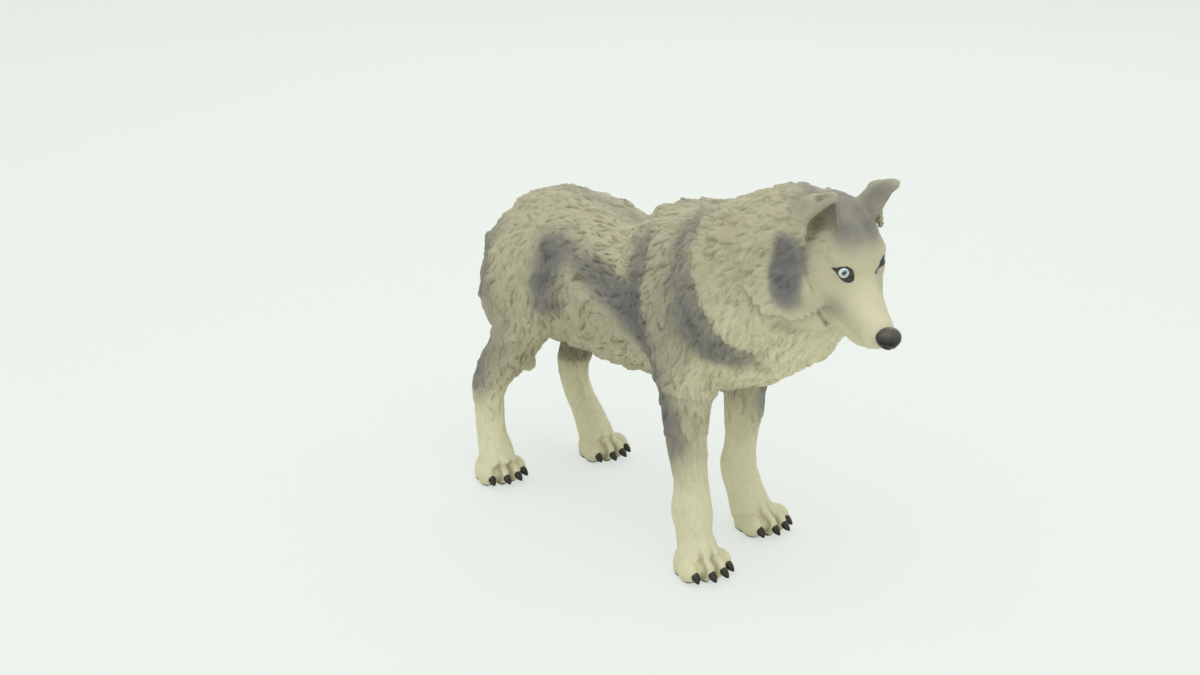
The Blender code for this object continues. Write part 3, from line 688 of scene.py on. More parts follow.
    def carve_paws(self, points: np.ndarray) -> tuple[np.ndarray, np.ndarray]:
        """Return the heights of the clefts between the toes and the painted shade in them."""
        height = np.zeros(len(points))
        recess_shade = np.zeros(len(points))
        low = points[:, 2] < 20.0
        for paw in PAWS:
            local = paw.frame().local(points)
            near = low & (np.abs(local[:, 0]) < 20.0) & (np.abs(local[:, 1]) < 16.0)
            for offset in (-5.2, 0.1, 5.0):
                lane = offset * (0.62 + 0.038 * np.clip(local[:, 0], -6.0, 12.0))
                fade = soft_step(local[:, 0] - 1.0 - 0.2 * abs(offset), 1.6) * soft_step(11.5 - local[:, 2], 1.2)
                cleft = np.exp(-((local[:, 1] - lane) / 0.75) ** 2) * fade * near
                height -= 1.15 * cleft
                recess_shade = np.maximum(recess_shade, 0.55 * cleft)
        return height, recess_shade

    def sculpt(self, piece: bpy.types.Object) -> None:
        """Smooth the joined skin and work all relief into it."""
        mesh = piece.data
        edges = MeshTool.edges(mesh)
        points = MeshTool.points(mesh)
        floor = points[:, 2] < 0.35
        face = self.face_share(points)
        legs = self.leg_share(points)
        toes = soft_step(12.0 - points[:, 2], 1.5)
        calm = 1.0 - 0.55 * np.maximum(face, toes)
        calm[floor] = 0.0
        points = MeshTool.relax(points, edges, calm, self.blend_steps)
        local = HEAD.local(points) - np.array((-2.5, 0.0, 1.5))
        stop = np.exp(-(local[:, 0] / 7.0) ** 2 - (local[:, 1] / 6.5) ** 2 - (local[:, 2] / 6.0) ** 2)
        points = MeshTool.relax(points, edges, np.where(stop > 0.05, stop, 0.0), self.stop_steps)
        MeshTool.write(mesh, points)
        normals = MeshTool.normals(mesh)
        take = np.clip((1.0 - face) * (1.0 - 0.78 * legs) * (1.0 - 0.9 * toes), 0.0, 1.0)
        take[points[:, 2] < 2.0] = 0.0
        # Painted shade gathered here, behind the fur layers, in the cut grooves and in the toe clefts; it also stands
        # for the figure's dark wash.
        recess_shade = np.zeros(len(points))
        height = 0.40 * fine_noise(points, 13.0) * take + 0.28 * fine_noise(points, 5.5, 40.0) * (0.12 + 0.88 * take)
        for ridge in RIDGES:
            rise, line = ridge.height(points)
            least = 0.8 if ridge is JOWL else 0.1
            height += rise * np.clip(take + least, 0.0, 1.0)
            recess_shade = np.maximum(recess_shade, line * np.clip(take + least - 0.1, 0.0, 1.0))
        points = points + normals * height[:, None]
        MeshTool.write(mesh, points)
        normals = MeshTool.normals(mesh)
        tree = kdtree.KDTree(len(points))
        for index, spot in enumerate(points):
            tree.insert(spot, index)
        tree.balance()
        ways = self.comb.ways(points)
        nape = (soft_step(points[:, 2] - 125.0, 2.5) * soft_step(152.0 - points[:, 0], 4.0)
                * soft_step(points[:, 0] - 76.0, 4.0) * (1.0 - face))
        tufts = self.stroke(TUFTS, points, normals, take * (1.0 + 1.2 * nape), tree, ways, False)
        chisel = self.stroke(CHISEL, points, normals, take, tree, ways, True)
        hairs = self.stroke(HAIRS, points, normals, take * np.clip(1.0 - 0.5 * legs, 0.0, 1.0), tree, ways, True)
        strands = self.stroke(STRANDS, points, normals, self.chest_share(points) * take, tree, ways, True)
        cut = np.where(np.abs(strands) > np.abs(chisel), strands, chisel)
        points = points + normals * ((tufts - 0.3 * TUFTS.depth * take) + cut + hairs)[:, None]
        recess_shade = np.maximum(recess_shade * 0.8, 0.85 * np.clip(-(cut + 0.6 * hairs) / 0.5 - 0.12, 0.0, 1.0) ** 1.2)
        # Less painted shade towards the chest and on the rump.
        rump = soft_step(24.0 - points[:, 0], 5.0) * soft_step(points[:, 2] - 92.0, 5.0)
        recess_shade = recess_shade * (1.0 - 0.45 * soft_step(points[:, 0] - 108.0, 6.0)) * (1.0 - 0.5 * rump)
        recess_shade = recess_shade * (1.0 - 0.4 * soft_step(points[:, 0] - 118.0, 5.0) * soft_step(100.0 - points[:, 2], 6.0))
        carved, dark = self.carve_face(points)
        clefts, cleft_shade = self.carve_paws(points)
        recess_shade = np.maximum(recess_shade, cleft_shade)
        points = points + normals * (carved * face + clefts)[:, None]
        moved = 1.0 - 0.6 * face
        moved[floor] = 0.0
        points = MeshTool.relax(points, edges, moved * 0.35, 1)
        points[:, 2] = np.maximum(points[:, 2], 0.0)
        MeshTool.write(mesh, points)
        # Store the painted shade of the recesses and the dark mouth line.
        MeshTool.attribute(mesh, "recess_shade", np.clip(recess_shade, 0.0, 1.0))
        MeshTool.attribute(mesh, "line", dark * face)

    def cut_places(self, mesh: bpy.types.Mesh) -> list[float]:
        """Return the forward places that cut the skin in slices of like fineness."""
        forward = MeshTool.points(mesh)[:, 0]
        shares = [step / self.slices for step in range(1, self.slices)]
        return [-1e3] + [round(float(v), 1) for v in np.quantile(forward, shares)] + [1e3]

    def slice(self, piece: bpy.types.Object, low: float, high: float, name: str) -> bpy.types.Object:
        """Cut one closed slice out of the skin, with the whole skin's normals at its rims.

        Args:
            piece: The whole skin, with its normals stored as flow.
            low: Rear end of the slice, forward in millimetres.
            high: Front end of the slice.
            name: Name of the slice.

        Returns:
            The slice.
        """
        bm = bmesh.new()
        bm.from_mesh(piece.data)
        for face in bm.faces:
            face.smooth = True
        for place, way in ((low, 1.0), (high, -1.0)):
            spot = Vector(to_world(np.array(((place, 0.0, 0.0),)))[0])
            cut = bmesh.ops.bisect_plane(bm, geom=bm.verts[:] + bm.edges[:] + bm.faces[:], dist=1e-7, plane_co=spot,
                                         plane_no=Vector((0.0, -way, 0.0)), clear_inner=True)
            rim = [e for e in cut["geom_cut"] if isinstance(e, bmesh.types.BMEdge)]
            if rim:
                cap = bmesh.ops.triangle_fill(bm, use_beauty=True, edges=rim, normal=Vector((0.0, way, 0.0)))
                for face in (f for f in cap["geom"] if isinstance(f, bmesh.types.BMFace)):
                    face.smooth = False
        bmesh.ops.recalc_face_normals(bm, faces=bm.faces)
        made = MeshTool.new_object(name, bm)
        mesh = made.data
        flow = MeshTool.read(mesh.attributes["flow"].data, "vector")
        corner = MeshTool.read(mesh.loops, "vertex_index", 1, np.int64)
        sizes = MeshTool.read(mesh.polygons, "loop_total", 1, np.int64)
        smooth = MeshTool.read(mesh.polygons, "use_smooth", 1, bool)
        flat = MeshTool.read(mesh.polygons, "normal")
        normals = np.where(np.repeat(smooth, sizes)[:, None], flow[corner], np.repeat(flat, sizes, axis=0))
        mesh.normals_split_custom_set([tuple(n) for n in normals.tolist()])
        mesh.attributes.remove(mesh.attributes["flow"])
        return made

    def mark(self, piece: bpy.types.Object) -> None:
        """Store the paint regions and the lie of the fur on the skin."""
        mesh = piece.data
        points = MeshTool.points(mesh)
        normals = MeshTool.normals(mesh)
        regions = PaintRegions()
        MeshTool.attribute(mesh, "grey", regions.grey(points, normals))
        MeshTool.attribute(mesh, "cream", regions.cream(points))
        MeshTool.attribute(mesh, "olive", regions.olive(points))
        face = self.face_share(points)
        legs = self.leg_share(points)
        MeshTool.attribute(mesh, "fur", np.clip((1.0 - face) * (1.0 - 0.7 * legs), 0.0, 1.0))
        self.lay_strands(mesh, points, normals)

    def lay_strands(self, mesh: bpy.types.Mesh, points: np.ndarray, normals: np.ndarray) -> None:
        """Store local coordinates along and across the fur, patch by patch."""
        draw = np.random.RandomState(5)
        count = int(self.skin_area / self.patch_size ** 2 * self.patch_overlap)
        seeds = draw.permutation(len(points))[:count]
        tree = kdtree.KDTree(count)
        for index, seed in enumerate(seeds):
            tree.insert(points[seed], index)
        tree.balance()
        owner = np.empty(len(points), dtype=np.int64)
        margin = np.empty(len(points))
        for index, spot in enumerate(points):
            found = tree.find_n(spot, 2)
            owner[index] = found[0][1]
            margin[index] = found[1][2] - found[0][2]
        ways = self.comb.ways(points[seeds]) + draw.normal(0.0, 0.02, (count, 3))
        ways = ways - normals[seeds] * (ways * normals[seeds]).sum(axis=1)[:, None]
        ways = ways / np.maximum(np.sqrt((ways * ways).sum(axis=1)), 1e-9)[:, None]
        across = np.cross(normals[seeds], ways)
        offset = points - points[seeds][owner]
        lay = np.stack(((offset * ways[owner]).sum(axis=1), (offset * across[owner]).sum(axis=1),
                        owner * 3.7), axis=1)
        MeshTool.attribute(mesh, "lay", lay)
        MeshTool.attribute(mesh, "seam", np.clip(margin / 1.6, 0.0, 1.0))

    def build(self, node: bpy.types.Object) -> tuple[list[bpy.types.Object], BVHTree]:
        """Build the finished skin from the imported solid, and a search tree of it."""
        bm = self.copy_solid(node)
        self.add_forms(bm)
        piece = self.join(bm)
        LOG.info("skin joined: %d vertices", len(piece.data.vertices))
        self.sculpt(piece)
        self.mark(piece)
        MeshTool.attribute(piece.data, "flow", MeshTool.read(piece.data.vertex_normals, "vector"))
        tree = BVHTree.FromPolygons([v.co for v in piece.data.vertices], [f.vertices for f in piece.data.polygons])
        places = self.cut_places(piece.data)
        names = ("hind", "loin", "barrel", "shoulder", "head")
        made = [self.slice(piece, low, high, "wolf_skin_" + name)
                for low, high, name in zip(places[:-1], places[1:], names)]
        old = piece.data
        bpy.data.objects.remove(piece)
        bpy.data.meshes.remove(old)
        return made, tree


@dataclass(frozen=True)
class Spray:
    """A soft sprayed patch: centre on the left side, radii and strength."""

    centre: Triple
    radii: Triple
    strength: float

    def mask(self, folded: np.ndarray) -> np.ndarray:
        """Return the strength of the patch at folded points."""
        away = (folded - np.array(self.centre)) / np.array(self.radii)
        return self.strength * np.exp(-(away * away).sum(axis=1))


def sprays(*rows: tuple[float, ...]) -> tuple[Spray, ...]:
    """Make patches from rows of centre, radii and strength."""
    return tuple(Spray(row[:3], row[3:6], row[6]) for row in rows)


@dataclass
class PaintRegions:
    """Where the figure is sprayed grey, left cream or washed olive."""

    body_grey: tuple[Spray, ...] = sprays(
        (30, 22, 104, 10, 13, 9, 0.95), (29, 25, 92, 9, 13, 10, 1), (34, 24, 84, 10, 13, 7, 0.7),
        (40, 20, 107, 13, 13, 6, 0.6), (54, 21, 102, 11, 13, 7, 0.75), (64, 21, 98, 11, 13, 8, 0.8),
        (74, 22, 94, 10, 13, 9, 0.85), (81, 24, 90, 10, 13, 11, 1), (87, 26, 99, 8, 13, 17, 1.05),
        (91, 28, 82, 9, 13, 11, 0.85), (87, 22, 118, 8, 13, 10, 0.65), (-24, 12, 92, 10, 15, 20, 0.6),
        (-12, 20, 86, 8, 9, 17, 0.5), (-14, 18, 106, 10, 13, 12, 0.5), (-8, 24, 80, 9, 13, 12, 0.4),
        (105, 28, 95, 14, 14, 22, 0.35), (104, 28, 60, 9, 10, 14, 0.9), (111, 30, 50, 8, 9, 13, 0.75),
        (101, 28, 72, 7, 9, 7, 0.5), (-6, 30, 48, 10, 13, 14, 0.85), (4, 30, 60, 12, 12, 12, 0.5),
        (12, 28, 72, 12, 12, 9, 0.3), (108, 20, 131, 9, 12, 8, 0.5), (110, 25, 119, 9, 12, 13, 0.58),
        (116, 30, 106, 9, 12, 12, 0.72), (119, 29, 96, 10, 12, 9, 0.9), (128, 27, 90, 11, 13, 8, 0.95),
        (139, 22, 87, 10, 13, 6, 0.65),
    )
    head_grey: tuple[Spray, ...] = sprays(
        (-22, 0, 14, 14, 10, 7, 0.6), (-10.5, 4.5, 11.5, 4.5, 5, 4.5, 0.62), (-9, 0, 11, 7, 9, 6, 0.5),
        (-15.5, 10.5, 20, 6, 6, 9, 0.8), (-25, 15, 14, 6, 5, 8, 0.45), (-6, 5, 8, 5, 6, 4, 0.3),
        (1.5, 9.3, -12, 6.5, 6, 7.5, 0.36), (-30, 8, 12, 10, 10, 8, 0.4), (0.5, 10, -11.5, 5, 6, 5.5, 0.35),
    )
    # Soft olive patches; the one beneath the jowl is painted shade under the jowl's fur layer.
    olive_patches_and_shade: tuple[Spray, ...] = sprays(
        (58, 24, 80, 26, 14, 12, 0.3), (10, 28, 76, 16, 14, 16, 0.32), (-22, 10, 88, 8, 20, 22, 0.35),
        (102, 28, 92, 10, 12, 24, 0.25), (44, 22, 92, 14, 12, 10, 0.15), (156, 18, 103, 6, 6, 3.5, 0.5),
        (132, 16, 126, 26, 20, 18, 0.22), (108, 26, 48, 14, 12, 16, 0.22),
    )
    # Olive in each ear's hollow: partly the ear's paint, partly painted shade in the hollow.
    ear_hollow_olive_and_shade: Spray = Spray((-18.6, 10.7, 9.8), (3.3, 3.1, 7.2), 1.0)
    # The oval patch on each cheek: middle, half length, half width, depth and turn in degrees.
    cheek: Triple = (-13.3, 22.0, -5.4)
    cheek_size: Triple = (13.0, 10.0, 4.9)
    cheek_turn: float = 49.5

    def grey(self, points: np.ndarray, normals: np.ndarray) -> np.ndarray:
        """Return how strongly each vertex is sprayed grey."""
        jitter = np.stack([fine_noise(points, 9.0, k * 31.0) for k in range(3)], axis=1) * 2.4
        folded = fold(points) + jitter
        local = fold(HEAD.local(points)) + jitter * 0.5
        clear = np.ones(len(points))
        for patch in self.body_grey:
            clear *= 1.0 - np.clip(patch.mask(folded), 0.0, 1.0) * 0.93
        for patch in self.head_grey:
            clear *= 1.0 - np.clip(patch.mask(local), 0.0, 1.0) * 0.9
        clear *= 1.0 - 0.95 * self.cheek_mask(local)
        top = np.exp(-(points[:, 1] / 8.0) ** 2) * soft_step(normals[:, 2] - 0.55, 0.12) * (points[:, 2] > 100)
        clear *= 1.0 - 0.5 * top * soft_step(165.0 - points[:, 0], 6.0)
        return np.clip(1.0 - clear, 0.0, 1.0)

    def cheek_mask(self, local: np.ndarray) -> np.ndarray:
        """Return the oval patch on the cheek at folded points of the head's frame."""
        away = local - np.array(self.cheek)
        turn = math.radians(self.cheek_turn)
        along = away[:, 0] * math.cos(turn) - away[:, 2] * math.sin(turn)
        across = away[:, 0] * math.sin(turn) + away[:, 2] * math.cos(turn)
        size = np.stack((along, away[:, 1], across), axis=1) / np.array(self.cheek_size)
        return soft_step(1.0 - np.sqrt((size * size).sum(axis=1)), 0.14)

    def cream(self, points: np.ndarray) -> np.ndarray:
        """Return how cream each vertex is, on the muzzle, the lower legs and the ruff's lower part, where the full
        cream is partly painted bounce light.
        """
        local = HEAD.local(points)
        bridge = soft_step(local[:, 0] + 1.0, 2.5) * soft_step(local[:, 2] + 7.0 + 0.28 * local[:, 0], 2.0)
        chin = 0.8 * soft_step(local[:, 0] - 3.0, 3.0) * soft_step(-15.0 - local[:, 2], 1.5)
        muzzle = 0.72 * np.maximum(bridge, chin) * (1.0 - 0.5 * soft_step(np.abs(local[:, 1]) - 7.0, 1.5))
        muzzle = np.maximum(muzzle, 0.30 * soft_step(local[:, 0] + 4.0, 3.0)) * soft_step(local[:, 2] + 26.0, 2.0)
        fore = soft_step(46.0 - points[:, 2], 8.0) * soft_step(points[:, 0] - 80.0, 4.0)
        hind = soft_step(42.0 - points[:, 2], 4.0) * soft_step(60.0 - points[:, 0], 4.0)
        # Full cream on the chest: partly the chest's own cream, partly painted bounce light on a surface that the head
        # shades.
        chest_cream_and_bounce = soft_step(points[:, 0] - 120.0, 5.0) * soft_step(102.0 - points[:, 2], 6.0)
        return np.clip(np.maximum.reduce((muzzle, fore, hind, chest_cream_and_bounce)), 0.0, 1.0)

    def olive(self, points: np.ndarray) -> np.ndarray:
        """Return how olive each vertex is: in the ears, partly as painted shade in the hollow, on the hind thighs'
        inner side, on the belly and in soft patches, one of them painted shade beneath the jowl.
        """
        local = HEAD.local(points)
        hollow_olive_and_shade = self.ear_hollow_olive_and_shade.mask(fold(local))
        ragged = 1.6 * fine_noise(points, 5.0, 7.0)
        thigh = (soft_step(points[:, 2] - 41.5 + ragged, 0.8) * soft_step(64.0 - points[:, 2], 5.0)
                 * soft_step(60.0 - points[:, 0], 4.0) * soft_step(points[:, 1] - 6.0, 2.0))
        belly = 0.4 * soft_step(66.0 - points[:, 2], 3.0) * soft_step(points[:, 2] - 55.0, 3.0)
        wander = np.stack([fine_noise(points, 7.0, 90.0 + k * 17.0) for k in range(3)], axis=1)
        spread = fold(points) + wander * 3.0
        olive_patches_and_shade = np.max([patch.mask(spread) for patch in self.olive_patches_and_shade], axis=0)
        return np.clip(np.maximum.reduce((hollow_olive_and_shade, thigh, belly, olive_patches_and_shade)), 0.0, 1.0)


class Sheet:
    """A node tree with short calls for adding and joining nodes."""

    def __init__(self, tree: bpy.types.NodeTree) -> None:
        """Wrap a node tree."""
        self.tree = tree

    def feed(self, target: bpy.types.NodeSocket, value: object) -> None:
        """Link an output to an input, or set the input to a plain value."""
        if isinstance(value, bpy.types.NodeSocket):
            self.tree.links.new(value, target)
        elif value is not None:
            target.default_value = value

    def add(self, kind: str, inputs: Optional[dict] = None, **settings: object) -> bpy.types.Node:
        """Add a node.

        Args:
            kind: Blender's name of the node type.
            inputs: Outputs to link or plain values, by the input's name or number.
            **settings: The node's properties by name.

        Returns:
            The node.
        """
        node = self.tree.nodes.new(kind)
        for key, value in settings.items():
            setattr(node, key, value)
        for key, value in (inputs or {}).items():
            self.feed(node.inputs[key], value)
        return node

    def math(self, operation: str, first: object, second: object = None, clamp: bool = False) -> bpy.types.NodeSocket:
        """Add a Math node on sockets or numbers and return its output."""
        return self.add("ShaderNodeMath", {0: first, 1: second}, operation=operation, use_clamp=clamp).outputs[0]

    def mix(self, share: object, first: object, second: object) -> bpy.types.NodeSocket:
        """Add a colour Mix node and return its output."""
        return self.add("ShaderNodeMix", {0: share, 6: first, 7: second}, data_type="RGBA").outputs[2]

    def noise(self, place: bpy.types.NodeSocket, **inputs: object) -> bpy.types.NodeSocket:
        """Add a Noise node at a place and return its value."""
        return self.add("ShaderNodeTexNoise", {"Vector": place, **inputs}).outputs["Fac"]

    def place(self) -> bpy.types.NodeSocket:
        """Read the object's own coordinates."""
        return self.add("ShaderNodeTexCoord").outputs["Object"]

    def attribute(self, name: str, output: str = "Fac") -> bpy.types.NodeSocket:
        """Read a stored attribute."""
        return self.add("ShaderNodeAttribute", attribute_name=name, attribute_type="GEOMETRY").outputs[output]

    def group(self, tree: bpy.types.NodeTree, **inputs: object) -> bpy.types.Node:
        """Place a shader group."""
        return self.add("ShaderNodeGroup", inputs, node_tree=tree)

    def relief(self, surface: bpy.types.Node, height: object, strength: float, distance: float) -> None:
        """Bump a surface by a height, over a distance in metres."""
        bump = self.add("ShaderNodeBump", {"Height": height, "Strength": strength, "Distance": distance})
        self.feed(surface.inputs["Normal"], bump.outputs["Normal"])

    def blend(self, share: object, first: bpy.types.Node, second: bpy.types.Node, end: bpy.types.Node) -> None:
        """Mix two shaders into an output node."""
        node = self.add("ShaderNodeMixShader", {0: share, 1: first.outputs[0], 2: second.outputs[0]})
        self.feed(end.inputs["Surface"], node.outputs[0])


def new_finish(name: str, **inputs: object) -> tuple[bpy.types.Material, Sheet, bpy.types.Node]:
    """Make a material around a Principled node.

    Args:
        name: Name of the material.
        **inputs: Plain values by the input's name, with _ for each space.

    Returns:
        The material, its sheet and its Principled node.
    """
    made = bpy.data.materials.new(name)
    made.use_nodes = True
    surface = made.node_tree.nodes["Principled BSDF"]
    for key, value in inputs.items():
        surface.inputs[key.replace("_", " ")].default_value = value
    return made, Sheet(made.node_tree), surface


class Groups:
    """The shader groups that more than one material uses, each built once."""

    @staticmethod
    def start(name: str, inputs: dict[str, object], outputs: dict[str, str]) -> tuple[Sheet, dict, dict]:
        """Make an empty group.

        Args:
            name: Name of the group.
            inputs: First value of each input; four numbers make it a colour.
            outputs: Socket type of each output.

        Returns:
            Its sheet, its given sockets and its result sockets.
        """
        tree = bpy.data.node_groups.new(name, "ShaderNodeTree")
        for key, value in inputs.items():
            kind = "NodeSocketColor" if isinstance(value, tuple) else "NodeSocketFloat"
            tree.interface.new_socket(name=key, in_out="INPUT", socket_type=kind).default_value = value
        for key, kind in outputs.items():
            tree.interface.new_socket(name=key, in_out="OUTPUT", socket_type=kind)
        sheet = Sheet(tree)
        given, out = sheet.add("NodeGroupInput"), sheet.add("NodeGroupOutput")
        return sheet, {key: given.outputs[key] for key in inputs}, {key: out.inputs[key] for key in outputs}

    @staticmethod
    def mottle() -> bpy.types.NodeTree:
        """Return the group that varies a paint colour and its gloss in soft blotches and specks."""
        found = bpy.data.node_groups.get("paint_mottle")
        if found:
            return found
        start = {"Colour": (0.5, 0.5, 0.5, 1.0), "Amount": 0.1, "Roughness": 0.5, "Scale": 160.0}
        sheet, given, out = Groups.start("paint_mottle", start,
                                         {"Colour": "NodeSocketColor", "Roughness": "NodeSocketFloat"})
        place = sheet.place()
        blotch = sheet.math("SUBTRACT", sheet.noise(place, Scale=given["Scale"], Detail=5.0), 0.5)
        fine = sheet.noise(place, Scale=1900.0, Detail=2.0)
        speck = sheet.math("MULTIPLY", sheet.math("SUBTRACT", fine, 0.5), 0.45)
        swing = sheet.math("MULTIPLY", sheet.math("ADD", blotch, speck), given["Amount"])
        gain = sheet.math("ADD", 1.0, sheet.math("MULTIPLY", swing, 2.0))
        scale = sheet.add("ShaderNodeVectorMath", operation="SCALE")
        sheet.feed(scale.inputs[0], given["Colour"])
        sheet.feed(scale.inputs["Scale"], gain)
        sheet.feed(out["Colour"], scale.outputs[0])
        sheet.feed(out["Roughness"], sheet.math("ADD", given["Roughness"], sheet.math("MULTIPLY", blotch, 0.16)))
        return sheet.tree

    @staticmethod
    def grain() -> bpy.types.NodeTree:
        """Return the group that gives the height of fine grain in moulded and painted rubber."""
        found = bpy.data.node_groups.get("moulded_grain")
        if found:
            return found
        sheet, given, out = Groups.start("moulded_grain", {"Scale": 900.0}, {"Height": "NodeSocketFloat"})
        sheet.feed(out["Height"], sheet.noise(sheet.place(), Scale=given["Scale"], Detail=6.0))
        return sheet.tree


@dataclass(frozen=True)
class PaintedRubber:
    """Finish of the skin: cream and beige rubber paint, sprayed grey, with painted shade in the recesses that also
    stands for a dark wash.
    """

    beige: Colour = srgb(185, 181, 151)
    cream: Colour = srgb(215, 212, 177)
    grey: Colour = srgb(99, 99, 101)
    olive: Colour = srgb(112, 106, 74)
    # Colours of the painted shade in the recesses, over plain paint and over grey paint.
    recess_shade: Colour = srgb(98, 92, 68)
    grey_recess_shade: Colour = srgb(70, 69, 64)
    line: Colour = srgb(46, 42, 34)
    pad: Colour = srgb(30, 28, 26)
    roughness: float = 0.56

    def material(self) -> bpy.types.Material:
        """Build the material of the skin."""
        made, sheet, surface = new_finish("wolf_painted_rubber", Specular_IOR_Level=0.38)
        names = ("grey", "cream", "olive", "recess_shade", "line", "fur", "seam")
        masks = {name: sheet.attribute(name) for name in names}
        place = sheet.place()
        drift = sheet.math("SUBTRACT", sheet.noise(place, Scale=260.0, Detail=6.0), 0.5)
        strand = self.strands(sheet)
        base = sheet.mix(masks["cream"], self.beige, self.cream)
        base = sheet.mix(sheet.math("MULTIPLY", masks["olive"], 0.85), base, self.olive)
        spray = sheet.math("ADD", masks["grey"], sheet.math("MULTIPLY", drift, 0.35))
        spray = sheet.math("MULTIPLY", spray, sheet.math("MULTIPLY", masks["grey"], 1.6, clamp=True), clamp=True)
        base = sheet.mix(spray, base, self.grey)
        # Painted shade: darker in the low parts of the strand pattern and where the recess mask is stored.
        groove_shade = sheet.math("MULTIPLY", sheet.math("SUBTRACT", 0.50, strand), 5.0, clamp=True)
        groove_shade = sheet.math("MULTIPLY", sheet.math("MULTIPLY", groove_shade, masks["fur"]), 0.34)
        painted_shade = sheet.math("ADD", sheet.math("MULTIPLY", masks["recess_shade"], 0.62), groove_shade, clamp=True)
        base = sheet.mix(painted_shade, base, sheet.mix(spray, self.recess_shade, self.grey_recess_shade))
        base = sheet.mix(masks["line"], base, self.line)
        base = sheet.mix(self.pad_mask(sheet, place), base, self.pad)
        vary = sheet.group(Groups.mottle(), Colour=base, Amount=0.09, Roughness=self.roughness, Scale=140.0)
        sheet.feed(surface.inputs["Base Color"], vary.outputs["Colour"])
        sheet.feed(surface.inputs["Roughness"], vary.outputs["Roughness"])
        grain = sheet.math("MULTIPLY", sheet.group(Groups.grain(), Scale=1100.0).outputs["Height"], 0.12)
        hair = sheet.math("MULTIPLY", sheet.math("MULTIPLY", strand, masks["fur"]), masks["seam"])
        sheet.relief(surface, sheet.math("ADD", hair, grain), 0.75, 0.00055)
        return made

    @staticmethod
    def strands(sheet: Sheet) -> bpy.types.NodeSocket:
        """Return noise drawn out along the stored lie of the fur."""
        lay = sheet.attribute("lay", "Vector")
        stretch = sheet.add("ShaderNodeVectorMath", {0: lay, 1: (0.20, 1.05, 1.0)}, operation="MULTIPLY")
        return sheet.noise(stretch.outputs[0], Scale=1.0, Detail=3.0, Roughness=0.6, Distortion=0.5)

    @staticmethod
    def pad_mask(sheet: Sheet, place: bpy.types.NodeSocket) -> bpy.types.NodeSocket:
        """Return the mask of the dark pads at the floor, with an uneven edge."""
        height = sheet.add("ShaderNodeSeparateXYZ", {0: place}).outputs[2]
        ragged = sheet.math("MULTIPLY", sheet.noise(place, Scale=300.0), 0.0014)
        gap = sheet.math("SUBTRACT", sheet.math("ADD", 0.0002, ragged), height)
        return sheet.math("MULTIPLY", gap, 6000.0, clamp=True)


@dataclass(frozen=True)
class GlossPaint:
    """Finish of the nose and claws: dark gloss paint, lighter on upward faces as a painted highlight mixed with rubbed
    wear.
    """

    name: str
    dark: Colour
    # The lighter colour and its share: a painted highlight on upward faces mixed with rubbed wear.
    lit_and_worn: Colour
    roughness: float
    light_and_wear: float

    def material(self) -> bpy.types.Material:
        """Build the material."""
        made, sheet, surface = new_finish(self.name, Specular_IOR_Level=0.35, Coat_Weight=0.15, Coat_Roughness=0.18)
        rub = sheet.math("SUBTRACT", sheet.noise(sheet.place(), Scale=420.0, Detail=5.0), 0.35)
        # Upward faces take the lighter colour as a painted highlight; the noise adds rubbed wear.
        up = sheet.add("ShaderNodeSeparateXYZ", {0: sheet.add("ShaderNodeNewGeometry").outputs["Normal"]}).outputs[2]
        share = sheet.math("MULTIPLY", sheet.math("ADD", up, rub), self.light_and_wear, clamp=True)
        vary = sheet.group(Groups.mottle(), Colour=sheet.mix(share, self.dark, self.lit_and_worn), Amount=0.25,
                           Roughness=self.roughness, Scale=500.0)
        sheet.feed(surface.inputs["Base Color"], vary.outputs["Colour"])
        sheet.feed(surface.inputs["Roughness"], vary.outputs["Roughness"])
        sheet.relief(surface, sheet.group(Groups.grain(), Scale=2600.0).outputs["Height"], 0.5, 0.0001)
        return made


NOSE_PAINT = GlossPaint("wolf_nose_paint", srgb(9, 8, 7), srgb(112, 106, 90), 0.26, 0.46)
CLAW_PAINT = GlossPaint("wolf_claw_paint", srgb(7, 6, 5), srgb(84, 76, 52), 0.28, 0.36)


@dataclass
class NosePad:
    """The rounded dark nose with two nostrils."""

    centre: Triple = (19.9, 0.2, -9.8)
    radii: Triple = (3.9, 4.5, 3.3)
    nostril: Triple = (3.0, 2.5, -0.5)
    nostril_size: Triple = (1.9, 1.3, 0.9)
    nostril_depth: float = 1.5

    tilt: float = 10.0

    def build(self) -> bpy.types.Object:
        """Build the nose from a sphere, pressed in at the nostrils and the middle."""
        bm = bmesh.new()
        bmesh.ops.create_uvsphere(bm, u_segments=72, v_segments=48, radius=1.0)
        bmesh.ops.scale(bm, vec=self.radii, verts=bm.verts)
        for vert in bm.verts:
            f, l, t = vert.co
            l *= 1.0 - 0.13 * (-t / self.radii[2]) - 0.04 * (f / self.radii[0])
            side = 1.0 if l >= 0 else -1.0
            gap = sum(((v - c) / s) ** 2 for v, c, s in
                      zip((f, l * side, t), self.nostril, self.nostril_size))
            press = self.nostril_depth * math.exp(-gap)
            rim = 0.22 * math.exp(-((math.sqrt(gap) - 1.5) / 0.5) ** 2)
            middle = 0.35 * math.exp(-(l / 0.45) ** 2) * (1.0 if f > 0 and t < 0.6 else 0.0)
            gain = 1.0 + (rim - press - middle) / 4.4
            vert.co = Vector((f * gain, l, t * (1.0 + 0.05 * f / self.radii[0])))
        bmesh.ops.transform(bm, matrix=HEAD.world_matrix() @ Matrix.Translation(Vector(self.centre))
                            @ Matrix.Rotation(math.radians(self.tilt), 4, "Y"), verts=bm.verts)
        bmesh.ops.recalc_face_normals(bm, faces=bm.faces)
        piece = MeshTool.new_object("nose_pad", bm)
        piece.data.materials.append(NOSE_PAINT.material())
        MeshTool.shade_smooth(piece)
        return piece


